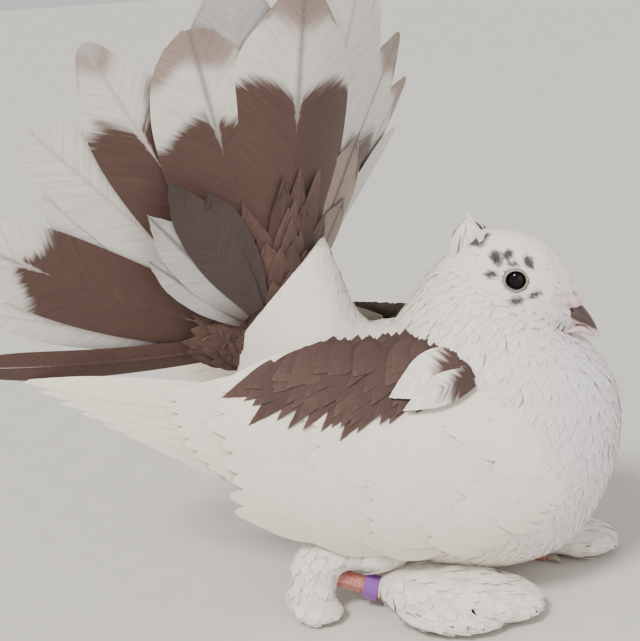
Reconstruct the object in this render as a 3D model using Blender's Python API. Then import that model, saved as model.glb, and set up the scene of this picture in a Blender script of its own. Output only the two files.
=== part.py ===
"""Fantail pigeon, life size, standing still with its tail raised.

All lengths below are millimetres in one frame: +X is the way the bill
points, +Y the bird's own left, +Z up, and the floor is at z = 0.  The
last step scales to metres and centres the bird's box on the origin.
"""
import math

import bmesh
import bpy
from mathutils import Matrix, Vector

MM = 0.001
GAP = 0.3
GROW = 0.32
RING = 24

# Body stations from tail root to bill: dorsal x z, ventral x z, half width.
BODY = [
    (-47.0, 139.0, -86.0, 96.0, 15.0),
    (-42.0, 124.0, -82.0, 74.0, 22.0),
    (-37.5, 110.0, -66.0, 46.0, 33.0),
    (-32.5, 103.5, -38.0, 20.0, 41.0),
    (-28.0, 102.5, -8.0, 9.5, 45.0),
    (-24.5, 103.5, 22.0, 9.5, 45.5),
    (-21.5, 106.2, 45.0, 20.0, 44.0),
    (-18.5, 109.8, 58.0, 42.0, 41.0),
    (-15.2, 114.0, 62.5, 62.0, 37.0),
    (-11.6, 119.2, 61.0, 80.0, 31.5),
    (-6.6, 125.2, 54.0, 92.0, 25.0),
    (-0.2, 131.8, 46.8, 98.6, 19.0),
    (8.5, 139.2, 43.2, 101.2, 15.5),
    (21.0, 140.2, 42.6, 102.4, 14.2),
    (33.6, 135.6, 44.6, 102.0, 11.6),
    (44.3, 124.5, 46.8, 101.4, 6.2),
]
RUMP_T, NECK_T, HEAD_T = 1.7, 8.6, 10.6

# Tail fan: base, yaw, forward lean and how far the sides sweep back.
FAN_BASE = Vector((-68.0, 0.0, 96.0))
FAN_YAW, FAN_LEAN = math.radians(48), math.radians(8)
SWEEP_NEAR, SWEEP_FAR = math.radians(14), math.radians(62)
TIP_BEND = -5.0

# Tail feathers: angle from the middle, length, half width, depth, skew.
TAIL_CENTRE = [(-5.0, 140.0, 24.0, 0.0, 0.0), (11.0, 132.0, 23.0, -1.4, 0.0),
               (3.0, 140.0, 20.0, -2.8, 0.0), (9.0, 146.0, 23.0, -4.2, 0.0)]
TAIL_RIGHT = [(27.0, 138.0, 21.0, -5.6, 0.0), (59.0, 132.0, 21.0, -7.0, 0.0),
              (40.0, 134.0, 16.0, -8.4, 0.0), (50.0, 128.0, 16.0, -9.8, 0.0),
              (75.0, 118.0, 9.0, -9.8, 0.0), (89.0, 125.0, 5.8, -5.6, 0.0)]
TAIL_LEFT = [(-22.0, 142.0, 20.0, -5.6, 0.0), (-35.0, 137.0, 19.0, -7.0, 0.0),
             (-47.0, 134.0, 19.0, -8.4, 0.0), (-59.0, 132.0, 19.0, -5.6, 0.0),
             (-71.0, 130.0, 18.0, -7.0, 0.0), (-83.0, 126.0, 16.0, -8.4, 0.0)]

# Folded wing: x, low edge, high edge, and the ellipse it wraps round.
WING = [
    (43.0, 58.0, 70.0, 33.0, 52.0, 58.0),
    (36.0, 48.0, 86.0, 38.0, 52.0, 58.0),
    (26.0, 38.0, 97.0, 43.5, 52.0, 58.0),
    (8.0, 29.0, 104.0, 49.0, 52.5, 58.0),
    (-12.0, 26.5, 105.5, 51.5, 53.5, 58.0),
    (-40.0, 32.0, 104.0, 50.5, 55.0, 60.0),
    (-70.0, 46.0, 99.0, 47.5, 60.0, 66.0),
    (-98.0, 57.5, 96.0, 45.0, 75.0, 76.0),
    (-128.0, 74.0, 94.5, 43.0, 95.0, 84.0),
    (-163.0, 91.0, 96.0, 41.0, 120.0, 90.0),
]


WING_X = (36, 26, 8, -12, -26, -40, -55, -70, -84, -98, -112, -128, -145)


def fan_axes():
    """Forward normal, up and near side directions of the tail fan."""
    flat = Vector((math.cos(FAN_YAW), -math.sin(FAN_YAW), 0.0))
    near = Vector((-math.sin(FAN_YAW), -math.cos(FAN_YAW), 0.0))
    rise = Vector((0, 0, 1)) * math.cos(FAN_LEAN) + flat * math.sin(FAN_LEAN)
    front = flat * math.cos(FAN_LEAN) - Vector((0, 0, 1)) * math.sin(FAN_LEAN)
    return front, rise, near


def fan_point(radius, angle, depth):
    """Point of the fan's dish: angle from the middle, depth to the front."""
    front, rise, near = fan_axes()
    turn = math.radians(angle)
    share = min(abs(angle) / 90.0, 1.2)
    sweep = SWEEP_NEAR * share if angle > 0 else SWEEP_FAR * share * share
    flat = rise * math.cos(turn) + near * math.sin(turn)
    along = flat * math.cos(sweep) - front * math.sin(sweep)
    return FAN_BASE + along * radius + front * depth


def mesh_object(name, verts, faces):
    """A closed mesh object from millimetre points, split in triangles."""
    mesh = bpy.data.meshes.new(name)
    mesh.from_pydata([Vector(v) * MM for v in verts], [], faces)
    work = bmesh.new()
    work.from_mesh(mesh)
    bmesh.ops.triangulate(work, faces=[f for f in work.faces if len(f.verts) > 3])
    bmesh.ops.recalc_face_normals(work, faces=work.faces[:])
    work.to_mesh(mesh)
    work.free()
    obj = bpy.data.objects.new(name, mesh)
    bpy.context.scene.collection.objects.link(obj)
    return obj


def loft(name, rings, strip=False):
    """Closed skin through rings of equal count, with flat or strip ends."""
    count = len(rings[0])
    verts = [point for ring in rings for point in ring]
    faces = []
    for row in range(len(rings) - 1):
        for col in range(count):
            a = row * count + col
            b = row * count + (col + 1) % count
            if strip and col >= count // 2:
                faces.append((a, b, a + count))
                faces.append((b, b + count, a + count))
            else:
                faces.append((a, b, b + count))
                faces.append((a, b + count, a + count))
    for row in (0, len(rings) - 1):
        start = row * count
        if strip:
            for k in range(count // 2 - 1):
                far = start + count - 1 - k
                faces.append((start + k, start + k + 1, far - 1, far))
            continue
        middle = sum((Vector(p) for p in rings[row]), Vector()) / count
        verts.append(middle)
        for col in range(count):
            faces.append((start + col, start + (col + 1) % count, len(verts) - 1))
    return mesh_object(name, verts, faces)


def boolean(target, others, operation, solver="EXACT"):
    """Apply one Boolean step with a group of closed pieces, then drop them."""
    group = bpy.data.collections.new(target.name + "_group")
    bpy.context.scene.collection.children.link(group)
    for other in others:
        group.objects.link(other)
    step = target.modifiers.new("step", "BOOLEAN")
    step.operation = operation
    step.solver = solver
    step.operand_type = "COLLECTION"
    step.collection = group
    bpy.context.view_layer.update()
    graph = bpy.context.evaluated_depsgraph_get()
    fresh = bpy.data.meshes.new_from_object(target.evaluated_get(graph))
    target.modifiers.clear()
    old = target.data
    name = old.name
    target.data = fresh
    bpy.data.meshes.remove(old)
    fresh.name = name
    for other in others:
        remove(other)
    bpy.data.collections.remove(group)
    keep_largest(target)
    return target


def remove(obj):
    """Take an object and its mesh out of the scene."""
    mesh = obj.data
    bpy.data.objects.remove(obj)
    bpy.data.meshes.remove(mesh)


def keep_largest(obj):
    """Keep the connected surface with the largest volume."""
    work = bmesh.new()
    work.from_mesh(obj.data)
    bmesh.ops.triangulate(work, faces=[f for f in work.faces if len(f.verts) > 3])
    left = set(work.faces)
    groups = []
    while left:
        todo = [left.pop()]
        group = list(todo)
        while todo:
            face = todo.pop()
            for edge in face.edges:
                for near in edge.link_faces:
                    if near in left:
                        left.remove(near)
                        todo.append(near)
                        group.append(near)
        groups.append(group)
    groups.sort(key=shell_volume)
    for group in groups[:-1]:
        bmesh.ops.delete(work, geom=group, context="FACES")
    work.to_mesh(obj.data)
    work.free()


def shell_volume(group):
    """Size of the volume inside a list of triangles."""
    total = 0.0
    for face in group:
        a, b, c = (v.co for v in face.verts[:3])
        total += a.dot(b.cross(c))
    return abs(total)


def union(name, pieces, solver="EXACT"):
    """Fuse closed pieces with one Boolean union on a collection."""
    first = pieces[0]
    if len(pieces) > 1:
        boolean(first, pieces[1:], "UNION", solver)
    first.name = name
    first.data.name = name
    return first


def between(table, at):
    """Smooth value of a table of stations at a fractional index."""
    at = min(max(at, 0.0), len(table) - 1.0)
    i = min(int(at), len(table) - 2)
    f = at - i
    out = []
    for k in range(len(table[0])):
        p1, p2 = table[i][k], table[i + 1][k]
        p0 = table[i - 1][k] if i > 0 else 2 * p1 - p2
        p3 = table[i + 2][k] if i + 2 < len(table) else 2 * p2 - p1
        out.append(0.5 * (2 * p1 + (p2 - p0) * f
                          + (2 * p0 - 5 * p1 + 4 * p2 - p3) * f * f
                          + (3 * p1 - p0 - 3 * p2 + p3) * f ** 3))
    return out


def body_ring(at, grow=0.0, push=0.0):
    """One ring of the body; push moves it along the spine."""
    dx, dz, vx, vz, width = between(BODY, at)
    top, low = Vector((dx, 0, dz)), Vector((vx, 0, vz))
    chord = (top - low).normalized()
    top, low, width = top + chord * grow, low - chord * grow, width + grow
    middle, half = (top + low) / 2, (top - low) / 2
    ahead = Vector((0, 1, 0)).cross(chord)
    ring = []
    for k in range(RING):
        a = 2 * math.pi * k / RING
        side = Vector((0, 1, 0)) * width * math.sin(a)
        ring.append(middle + half * math.cos(a) + side + ahead * push)
    return ring


def body_part(name, start, end, grow=0.0):
    """The body between two stations, its ends drawn in by half a gap."""
    steps = max(2, round((end - start) * 2))
    first = 0.0 if start <= 0 else GAP / 2
    last = 0.0 if end >= len(BODY) - 1 else -GAP / 2
    rings = [body_ring(start, grow, first)]
    for k in range(1, steps):
        rings.append(body_ring(start + (end - start) * k / steps, grow))
    rings.append(body_ring(end, grow, last))
    return loft(name, rings)


def lerp_table(table, x):
    """Row of a table at x, straight between its rows, x falling."""
    for a, b in zip(table, table[1:]):
        if a[0] >= x >= b[0]:
            f = (a[0] - x) / (a[0] - b[0])
            return [p + (q - p) * f for p, q in zip(a, b)]
    return list(table[0] if x > table[0][0] else table[-1])


def wing_point(side, x, z, depth):
    """Point of the folded wing's surface, moved inward by depth."""
    _, _, _, wide, tall, centre = lerp_table(WING, x)
    rise = max(-0.97, min(0.97, (z - centre) / tall))
    out = math.sqrt(1 - rise * rise)
    return Vector((x, side * (wide - depth) * out, centre + (tall - depth) * rise))


def wing_sheet(name, side, columns, grow=0.0, rows=8):
    """Sheet of the wing: columns of x, low z, high z, outer and inner depth."""
    first, last = columns[0][0], columns[-1][0]
    inside = [x for x in WING_X if last + 1.0 < x < first - 1.0]
    table = []
    for x in [first] + inside + [last]:
        table.append([x] + lerp_table(columns, x)[1:])
    table[0][0] += grow
    table[-1][0] -= grow
    rings = []
    for x, low, high, outer, inner in table:
        low, high = low - grow, high + grow
        ease = 0.0 if grow else 0.3 * (inner - outer)
        ring = []
        for k in range(rows):
            z = low + (high - low) * k / (rows - 1)
            edge = ease if k in (0, rows - 1) else 0.0
            ring.append(wing_point(side, x, z, outer - grow + edge))
        for k in range(rows - 1, -1, -1):
            z = low + (high - low) * k / (rows - 1)
            edge = ease if k in (0, rows - 1) else 0.0
            ring.append(wing_point(side, x, z, inner + grow - edge))
        rings.append(ring)
    return loft(name, rings, strip=True)


def fan_sheet(name, angles, radii, back, front, grow=0.0):
    """Sector of the tail dish, between two angles and two depths."""
    first, last = angles
    stops = [a for a in range(-98, 120, 10) if first + 1.0 < a < last - 1.0]
    rings = []
    for angle in [first] + stops + [last]:
        ring = []
        for depth, order in ((front + grow, radii), (back - grow, radii[::-1])):
            for radius in order:
                shift = grow * (1 if radius == max(radii) else 0)
                shift -= grow * (1 if radius == min(radii) else 0)
                ring.append(fan_point(radius + shift, angle, depth))
        rings.append(ring)
    return loft(name, rings, strip=True)


def vane(name, stations):
    """Tapered feather from stations of edge, shaft and edge points.

    Each station holds three points and the step from its front face to its
    back face at the shaft; the edges are thinner than the shaft.
    """
    rings = []
    for left, middle, right, step in stations:
        thin = step * 0.8
        rings.append([left - thin / 2, middle - step / 2, right - thin / 2,
                      right + thin / 2, middle + step / 2, left + thin / 2])
    return loft(name, rings, strip=True)


def feather_width(share, base, full, tip):
    """Half width along a feather: thin quill, broad vane, rounded tip."""
    if share < 0.2:
        return base + (full * 0.42 - base) * (share / 0.2)
    if share < 0.62:
        return full * (0.42 + 0.58 * math.sin((share - 0.2) / 0.42 * math.pi / 2))
    return full * math.sqrt(max(0.0, 1 - ((share - 0.62) / 0.38) ** 2 * (1 - tip)))


FAN_SHARES = (0.0, 0.22, 0.55, 0.84, 0.96, 1.0)
SMALL_SHARES = (0.0, 0.35, 0.84, 1.0)
FLIGHT_SHARES = (0.0, 0.3, 0.82, 0.95, 1.0)


def fan_vane(angle, reach, half, depth, start=7.0, rise=0.0, shares=FAN_SHARES,
             thick=0.9, skew=0.0):
    """One feather of the tail dish at an angle, length, half width and depth."""
    stations = []
    for share in shares:
        radius = start + (reach - start) * share
        wide = feather_width(share, 1.5, half, 0.05)
        turn = math.degrees(wide / radius)
        lean = angle + skew * share * share
        level = depth + rise * (radius - start) + TIP_BEND * (radius / 140.0) ** 2
        left = fan_point(radius, lean - turn, level)
        middle = fan_point(radius, lean, level)
        right = fan_point(radius, lean + turn, level)
        out = (fan_point(radius, lean, level + 1.0) - middle)
        stations.append((left, middle, right, out * thick * (1 - 0.22 * share)))
    return vane("vane", stations)


def fan_block(angles, radii, back, front):
    """Root block that a group of tail feathers is sunk in."""
    return fan_sheet("block", angles, radii, back, front)


def wing_vane(side, root, tip, half, depths, tilt=0.0, thick=0.8, shares=SMALL_SHARES,
              bow=0.0, blunt=0.1):
    """Feather on the wing's surface from root to tip, both x and z."""
    a, b = Vector((root[0], 0, root[1])), Vector((tip[0], 0, tip[1]))
    way = (b - a).normalized()
    across = Vector((-way.z, 0, way.x))
    if across.z < 0:
        across = -across
    stations = []
    for share in shares:
        at = a.lerp(b, share) + across * bow * math.sin(share * math.pi)
        wide = feather_width(share, 1.6, half, blunt)
        level = depths[0] + (depths[1] - depths[0]) * min(1.0, share / 0.35)
        points = []
        for offset in (-wide, 0.0, wide):
            spot = at + across * offset
            points.append(wing_point(side, spot.x, spot.z, level + tilt * offset))
        inner = wing_point(side, at.x, at.z, level + 1.0)
        step = (points[1] - inner).normalized() * thick * (1 - 0.22 * share)
        stations.append((*points, step))
    return vane("vane", stations)


def path_vane(points, across, up, widths, thick=0.9):
    """Feather along free points, with its side and face directions."""
    across, up = Vector(across).normalized(), Vector(up).normalized()
    stations = []
    for number, (point, wide) in enumerate(zip(points, widths)):
        at = Vector(point)
        sink = up * (-0.12 * wide)
        step = up * thick * (1 - 0.22 * number / (len(points) - 1))
        stations.append((at - across * wide + sink, at, at + across * wide + sink, step))
    return vane("vane", stations)


def tube(name, path, count=12):
    """Round tube with filled ends along points of x, y, z, radius."""
    curve = bpy.data.curves.new(name, "CURVE")
    curve.dimensions = "3D"
    curve.bevel_depth = MM
    curve.bevel_resolution = max(1, count // 4 - 1)
    curve.use_fill_caps = True
    line = curve.splines.new("POLY")
    line.points.add(len(path) - 1)
    for point, (x, y, z, radius) in zip(line.points, path):
        point.co = (x * MM, y * MM, z * MM, 1.0)
        point.radius = radius
    guide = bpy.data.objects.new(name + "_line", curve)
    bpy.context.scene.collection.objects.link(guide)
    bpy.context.view_layer.update()
    graph = bpy.context.evaluated_depsgraph_get()
    mesh = bpy.data.meshes.new_from_object(guide.evaluated_get(graph))
    bpy.data.objects.remove(guide)
    bpy.data.curves.remove(curve)
    return closed_object(name, mesh)


def closed_object(name, mesh):
    """Weld a mesh's caps, split it in triangles and link it."""
    work = bmesh.new()
    work.from_mesh(mesh)
    bmesh.ops.remove_doubles(work, verts=work.verts[:], dist=1e-6)
    bmesh.ops.triangulate(work, faces=[f for f in work.faces if len(f.verts) > 3])
    bmesh.ops.recalc_face_normals(work, faces=work.faces[:])
    work.to_mesh(mesh)
    work.free()
    mesh.name = name
    obj = bpy.data.objects.new(name, mesh)
    bpy.context.scene.collection.objects.link(obj)
    return obj


def capsule(name, start, end, grow=0.0, count=12):
    """Tube with rounded ends between two points with radii."""
    a, b = Vector(start[:3]), Vector(end[:3])
    way = (b - a).normalized()
    path = []
    for share in (0.94, 0.55):
        r = start[3] + grow
        path.append((*(a - way * r * share), r * math.sqrt(1 - share * share)))
    path.append((*a, start[3] + grow))
    path.append((*b, end[3] + grow))
    for share in (0.55, 0.94):
        r = end[3] + grow
        path.append((*(b + way * r * share), r * math.sqrt(1 - share * share)))
    return tube(name, path, count)


def ball(name, centre, radii, count=20, rows=12):
    """Ellipsoid from a UV sphere with its poles on the Y axis."""
    mesh = bpy.data.meshes.new(name)
    work = bmesh.new()
    size = Matrix.Diagonal((*[r * MM for r in radii], 1.0))
    place = Matrix.Translation(Vector(centre) * MM)
    turn = Matrix.Rotation(math.pi / 2, 4, "X")
    bmesh.ops.create_uvsphere(work, u_segments=count, v_segments=rows, radius=1.0,
                              matrix=place @ size @ turn)
    work.to_mesh(mesh)
    work.free()
    return closed_object(name, mesh)


def cut_plane(obj, point, normal):
    """Keep the side of a plane that its normal points to, closed again."""
    work = bmesh.new()
    work.from_mesh(obj.data)
    geom = work.verts[:] + work.edges[:] + work.faces[:]
    cut = bmesh.ops.bisect_plane(work, geom=geom, plane_co=Vector(point) * MM,
                                 plane_no=Vector(normal), dist=1e-7,
                                 clear_inner=True)
    rim = [e for e in cut["geom_cut"] if isinstance(e, bmesh.types.BMEdge)]
    bmesh.ops.holes_fill(work, edges=rim, sides=0)
    bmesh.ops.triangulate(work, faces=[f for f in work.faces if len(f.verts) > 3])
    bmesh.ops.recalc_face_normals(work, faces=work.faces[:])
    work.to_mesh(obj.data)
    work.free()
    return obj


def ring_of(section, grow=0.0, count=16):
    """Ring for the bill: dorsal x z, ventral x z, half width."""
    dx, dz, vx, vz, width = section
    top, low = Vector((dx, 0, dz)), Vector((vx, 0, vz))
    chord = (top - low).normalized()
    top, low, width = top + chord * grow, low - chord * grow, width + grow
    ring = []
    for k in range(count):
        a = 2 * math.pi * k / count
        side = Vector((0, width * math.sin(a), 0))
        ring.append((top + low) / 2 + (top - low) / 2 * math.cos(a) + side)
    return ring


BILL_UPPER = [(41.8, 118.0, 44.4, 105.2, 5.4), (47.6, 113.0, 49.2, 104.3, 4.4),
              (50.6, 108.6, 51.3, 102.9, 3.3), (53.2, 104.4, 53.2, 101.0, 2.2),
              (54.8, 100.6, 54.5, 98.9, 1.2), (55.1, 98.9, 54.9, 98.2, 0.4)]
BILL_LOWER = [(43.6, 104.8, 43.2, 102.0, 4.6), (49.0, 103.8, 48.0, 100.6, 3.6),
              (51.0, 102.4, 50.2, 99.8, 2.6), (52.8, 100.5, 52.3, 98.9, 1.4),
              (53.6, 99.2, 53.3, 98.5, 0.5)]
EYE = (25.6, 10.6, 124.0)
EYE_R = 4.4


def build_head():
    """Head, crest, eyes, cere and bill."""
    head = body_part("head", HEAD_T, len(BODY) - 1)
    for side in (-1, 1):
        boolean(head, [lid_ring(side)], "UNION")
        socket = ball("socket", (EYE[0], side * EYE[1], EYE[2]),
                      [EYE_R + GROW] * 3, 14, 8)
        boolean(head, [socket], "DIFFERENCE")
        name = "eye_right" if side < 0 else "eye_left"
        ball(name, (EYE[0], side * EYE[1], EYE[2]), [EYE_R] * 3, 14, 8)
    lower = loft("bill_lower", [ring_of(s) for s in BILL_LOWER])
    upper = loft("bill_upper", [ring_of(s) for s in BILL_UPPER])
    for bill, table in ((lower, BILL_LOWER), (upper, BILL_UPPER)):
        boolean(bill, [body_part("grown", HEAD_T, 15, GROW)], "DIFFERENCE")
        boolean(head, [loft("grown", [ring_of(s, GROW) for s in table])], "DIFFERENCE")
    slits = [ball("slit", (49.2, y, 108.2), (1.7, 0.9, 0.7), 6, 4) for y in (-3.5, 3.5)]
    boolean(upper, slits, "DIFFERENCE")
    wax = union("cere", [ball("wax", (47.2, y, 112.4), (3.6, 3.1, 3.0), 12, 6)
                         for y in (-1.9, 1.9)])
    boolean(wax, [loft("grown", [ring_of(s, GROW) for s in BILL_UPPER]),
                  body_part("grown", HEAD_T, 15, GROW)], "DIFFERENCE")


def lid_ring(side):
    """Low round ridge of bare skin about one eye."""
    place = (EYE[0] * MM, side * 13.5 * MM, EYE[2] * MM)
    bpy.ops.mesh.primitive_torus_add(
        location=place, rotation=(math.pi / 2, 0, 0), major_segments=14,
        minor_segments=5, major_radius=4.0 * MM, minor_radius=0.8 * MM)
    made = bpy.context.object
    made.data.transform(made.matrix_world)
    mesh = made.data.copy()
    remove(made)
    return closed_object("lid", mesh)


def crest():
    """Small peak of pointed feathers at the nape."""
    pieces = [tube("crest", [(3.6, 0, 134.0, 3.6), (5.2, 0, 140.0, 3.3),
                             (7.0, 0, 143.2, 1.6)], 8)]
    for number, (x, y, tall) in enumerate(((4.4, 0.0, 6.6), (2.6, 2.2, 5.2),
                                           (2.6, -2.2, 5.2))):
        foot = Vector((x, y, 138.5))
        tip = foot + Vector((3.2 + 0.2 * number, y * 0.5, tall * 1.3))
        points = [foot, foot.lerp(tip, 0.4), foot.lerp(tip, 0.75), tip]
        pieces.append(path_vane(points, (0.3, 1, 0), (-1, 0.3, 0.2),
                                (1.8, 1.7, 1.1, 0.25), 0.9))
    return union("crest", pieces)


# Layers of the wing: x, low z, high z, outer and inner depth.
COVERTS = [(41.0, 56.0, 74.0, 1.2, 3.0), (36.0, 48.0, 86.0, 0.3, 3.4),
           (26.0, 38.0, 97.0, 0.0, 3.4), (8.0, 29.0, 104.0, 0.0, 3.4),
           (-12.0, 26.5, 105.5, 0.0, 3.4), (-40.0, 32.0, 104.0, 0.0, 3.4),
           (-60.0, 43.0, 100.5, 0.8, 3.4)]
WING_CUT = [(41.0, 55.5, 74.5, -2.4, 3.4), (36.0, 47.5, 86.5, -2.4, 3.8),
            (26.0, 37.5, 97.5, -2.4, 3.8), (8.0, 28.5, 105.0, -3.0, 3.8),
            (1.0, 27.2, 107.2, -6.0, 3.8), (-12.0, 26.0, 108.6, -6.0, 5.2),
            (-18.0, 27.0, 108.6, -6.0, 9.6), (-40.0, 31.5, 108.6, -6.0, 11.2),
            (-64.0, 42.5, 105.0, -6.0, 11.2), (-80.0, 48.0, 99.0, -6.0, 11.2),
            (-100.0, 50.0, 98.0, -6.0, 11.2)]


def covert_vanes(side):
    """Tiers of wing coverts lying on the wing's outer face."""
    made = []
    for x, low, high, count, reach, half in ((4.0, 35.0, 80.0, 5, 34.0, 7.0),
                                             (-27.0, 36.0, 86.0, 6, 43.0, 7.0)):
        for k in range(count):
            z = low + (high - low) * (k + 0.5) / count
            spread = (z - 62.0) / 40.0
            back = reach + 3.0 * math.cos(k * 2.1)
            tip = (x - back, z + 4.0 - 1.5 * spread)
            made.append(wing_vane(side, (x, z), tip, half, (1.4, -1.15), 0.085, 0.7))
    return made


def secondary_vanes(side):
    """Secondaries fanned from the wing to its rounded rear edge."""
    made = []
    count = 7
    for k in range(count):
        f = k / (count - 1)
        root = (-27.0, 46.0 + 42.0 * f)
        tip = (-93.0 - 11.5 * math.sin(math.pi * (0.25 + 0.62 * f)), 57.0 + 35.0 * f)
        made.append(wing_vane(side, root, tip, 7.4, (5.6, 5.6), 0.12, 0.8,
                              FLIGHT_SHARES, 0.0, 0.15))
    return made


def primary_vanes(side):
    """Primaries, the longest along the upper edge of the wing's tip."""
    made = []
    tips = ((-112.0, 68.0), (-122.0, 73.5), (-132.0, 78.5), (-142.0, 83.0),
            (-151.0, 86.6), (-158.0, 89.6), (-163.0, 92.4))
    for k, tip in enumerate(tips):
        root = (-38.0, 52.0 + 5.6 * k)
        made.append(wing_vane(side, root, tip, 6.2, (9.3, 9.1), 0.2, 0.8,
                              FLIGHT_SHARES, 0.0, 0.12))
    return made


SCAPULAR_TIPS = [(-73.0, 91.0), (-68.0, 82.5), (-54.0, 79.0), (-39.0, 77.5),
                 (-24.0, 79.5), (-10.0, 84.5)]


def scapular_vanes(side):
    """Lobed patch of large soft feathers over the back of the wing."""
    made = []
    for k, tip in enumerate(SCAPULAR_TIPS):
        root = (-44.0 + 8.4 * k, 100.5 - 0.1 * k)
        level = -3.1 - 1.0 * (k % 2)
        made.append(wing_vane(side, root, tip, 8.6, (level, level), 0.0, 0.6))
    for k in (1, 3):
        a, b = Vector(SCAPULAR_TIPS[k]), Vector(SCAPULAR_TIPS[k + 1])
        tip = a.lerp(b, 0.5) + Vector((3.0, 6.5))
        root = (-40.0 + 8.4 * k, 102.0)
        made.append(wing_vane(side, root, tip, 8.2, (-5.1, -5.1), 0.0, 0.6))
    return made


def wing_nodes(side):
    """The layers of one folded wing and the scapulars over them."""
    tail = "right" if side < 0 else "left"
    slab = wing_sheet("slab", side, COVERTS)
    union("wing_" + tail, [slab] + covert_vanes(side))
    bar = wing_sheet("bar", side, [(-24, 43, 92, 4.2, 7.0), (-34, 42, 93, 4.2, 7.0)],
                     rows=6)
    union("secondaries_" + tail, [bar] + secondary_vanes(side))
    bar = wing_sheet("bar", side, [(-35, 49, 90, 7.8, 10.6), (-45, 49, 90, 7.8, 10.6)],
                     rows=6)
    union("primaries_" + tail, [bar] + primary_vanes(side))
    bar = wing_sheet("bar", side, [(0.5, 97, 104.5, -5.6, -2.7),
                                   (-46, 97, 105, -5.6, -2.7)], rows=4)
    union("scapulars_" + tail, [bar] + scapular_vanes(side))


# Leg: hip, hock, ankle and toes of the right foot; the left stands ahead.
LEFT_STEP = 28.0
THIGH = [(-12, 24, 41, 13), (-28, 27, 31, 11.5), (-42, 29, 22, 7.5), (-53, 30, 16, 5.2)]
SHANK = [(-53, 30, 15.5, 3.9), (-36, 30, 10.4, 3.5), (-20, 30, 5.6, 3.6)]
PALM = (-19.0, 30.0, 3.6, 4.2)
TOES = [((6, 38), 2.7), ((11, 30), 2.8), ((4, 20), 2.6), ((-31, 18), 2.5)]


def leg_place(side, point):
    """Put a right leg point on its side, the left leg a step ahead."""
    x, y, z, r = point
    if side > 0:
        return (x + LEFT_STEP, y - 6.0, z, r)
    return (x, -y, z, r)


def foot_pieces(side, grow=0.0):
    """The palm and four toes of a foot as closed pieces."""
    palm = leg_place(side, PALM)
    pieces = [capsule("palm", palm, (palm[0] + 4, palm[1], 3.4, 4.0), grow)]
    for at, radius in TOES:
        end = leg_place(side, (at[0], at[1], 2.2, radius - 0.2))
        start = (palm[0] + 2, palm[1], 2.6, radius + 0.3)
        pieces.append(capsule("toe", start, end, grow, 4))
    return pieces


def leg_nodes(side):
    """Thigh, shank, foot, claws and foot feathers of one leg."""
    tail = "right" if side < 0 else "left"
    thigh = tube("thigh_" + tail, [leg_place(side, p) for p in THIGH], 16)
    foot = union("foot_" + tail, foot_pieces(side))
    cut_plane(foot, (0, 0, 0), (0, 0, 1))
    shank = tube("shank_" + tail, [leg_place(side, p) for p in SHANK])
    boolean(shank, foot_pieces(side, GROW), "DIFFERENCE")
    for number, (at, radius) in enumerate(TOES):
        claw(side, tail, number, at, radius)
    return thigh


def shank_cutter(side):
    """Shank grown by the gap, to take out of what lies round it."""
    path = [leg_place(side, p) for p in SHANK]
    x, y, z, r = path[0]
    path[0] = (x - 0.4, y, z + 0.12, r)
    return tube("cut", [(x, y, z, r + 0.4) for x, y, z, r in path])


def claw(side, tail, number, at, radius):
    """One curved claw ahead of a toe."""
    palm = Vector(leg_place(side, PALM)[:3])
    tip = Vector(leg_place(side, (at[0], at[1], 2.2, 0))[:3])
    way = tip - palm
    way.z = 0
    way.normalize()
    start = tip + way * (radius - 0.2 + GAP)
    path = [(*start, 1.5), (*(start + way * 2.2 + Vector((0, 0, 0.3))), 1.25),
            (*(start + way * 4.4 + Vector((0, 0, -0.4))), 0.8),
            (*(start + way * 6.0 + Vector((0, 0, -1.3))), 0.25)]
    tube("claw_%s_%d" % (tail, number + 1), path, 8)


def leg_band():
    """Plain closed ring on the right shank."""
    a = Vector(leg_place(-1, SHANK[1])[:3])
    b = Vector(leg_place(-1, SHANK[2])[:3])
    middle = (a + (b - a) * 0.3) * MM
    turn = (b - a).to_track_quat("Z", "Y").to_matrix().to_4x4()
    pieces = []
    for radius, height in ((4.9, 5.6), (4.1, 9.0)):
        mesh = bpy.data.meshes.new("band")
        work = bmesh.new()
        bmesh.ops.create_cone(work, cap_ends=True, segments=12, radius1=radius * MM,
                              radius2=radius * MM, depth=height * MM,
                              matrix=Matrix.Translation(middle) @ turn)
        work.to_mesh(mesh)
        work.free()
        pieces.append(closed_object("leg_band", mesh))
    return boolean(pieces[0], pieces[1:], "DIFFERENCE")


def muff(side):
    """Long feathers over the foot, spread ahead and to the outer side."""
    tail = "right" if side < 0 else "left"
    palm = Vector(leg_place(side, PALM)[:3])
    out = -1.0 if side < 0 else 1.0
    root = palm + Vector((5.0, out * 1.0, 7.2))
    pieces = [ball("muff", root, (9.0, 8.0, 2.4), 12, 6)]
    for number in range(7):
        turn = math.radians(-18 + 20.0 * number)
        way = Vector((math.cos(turn), out * math.sin(turn), 0.0))
        side_way = Vector((-way.y, way.x, 0.0))
        reach = 44.0 - 2.6 * number + (3.0 if number % 2 else 0.0)
        drop = 7.2 if number % 2 else 6.2
        lift = 0.8 if number % 2 else -0.5
        points, widths = [], (2.0, 5.4, 5.2, 1.0)
        for share in (0.1, 0.45, 0.82, 1.0):
            fall = drop * max(0.0, (share - 0.3) / 0.7) ** 1.6
            points.append(root + way * reach * share + Vector((0, 0, lift - fall)))
        pieces.append(path_vane(points, side_way, (0, 0, 1), widths, 0.8))
    hood = union("muff_" + tail, pieces)
    cutters = foot_pieces(side, GROW) + [shank_cutter(side)]
    return boolean(hood, cutters, "DIFFERENCE")


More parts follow.
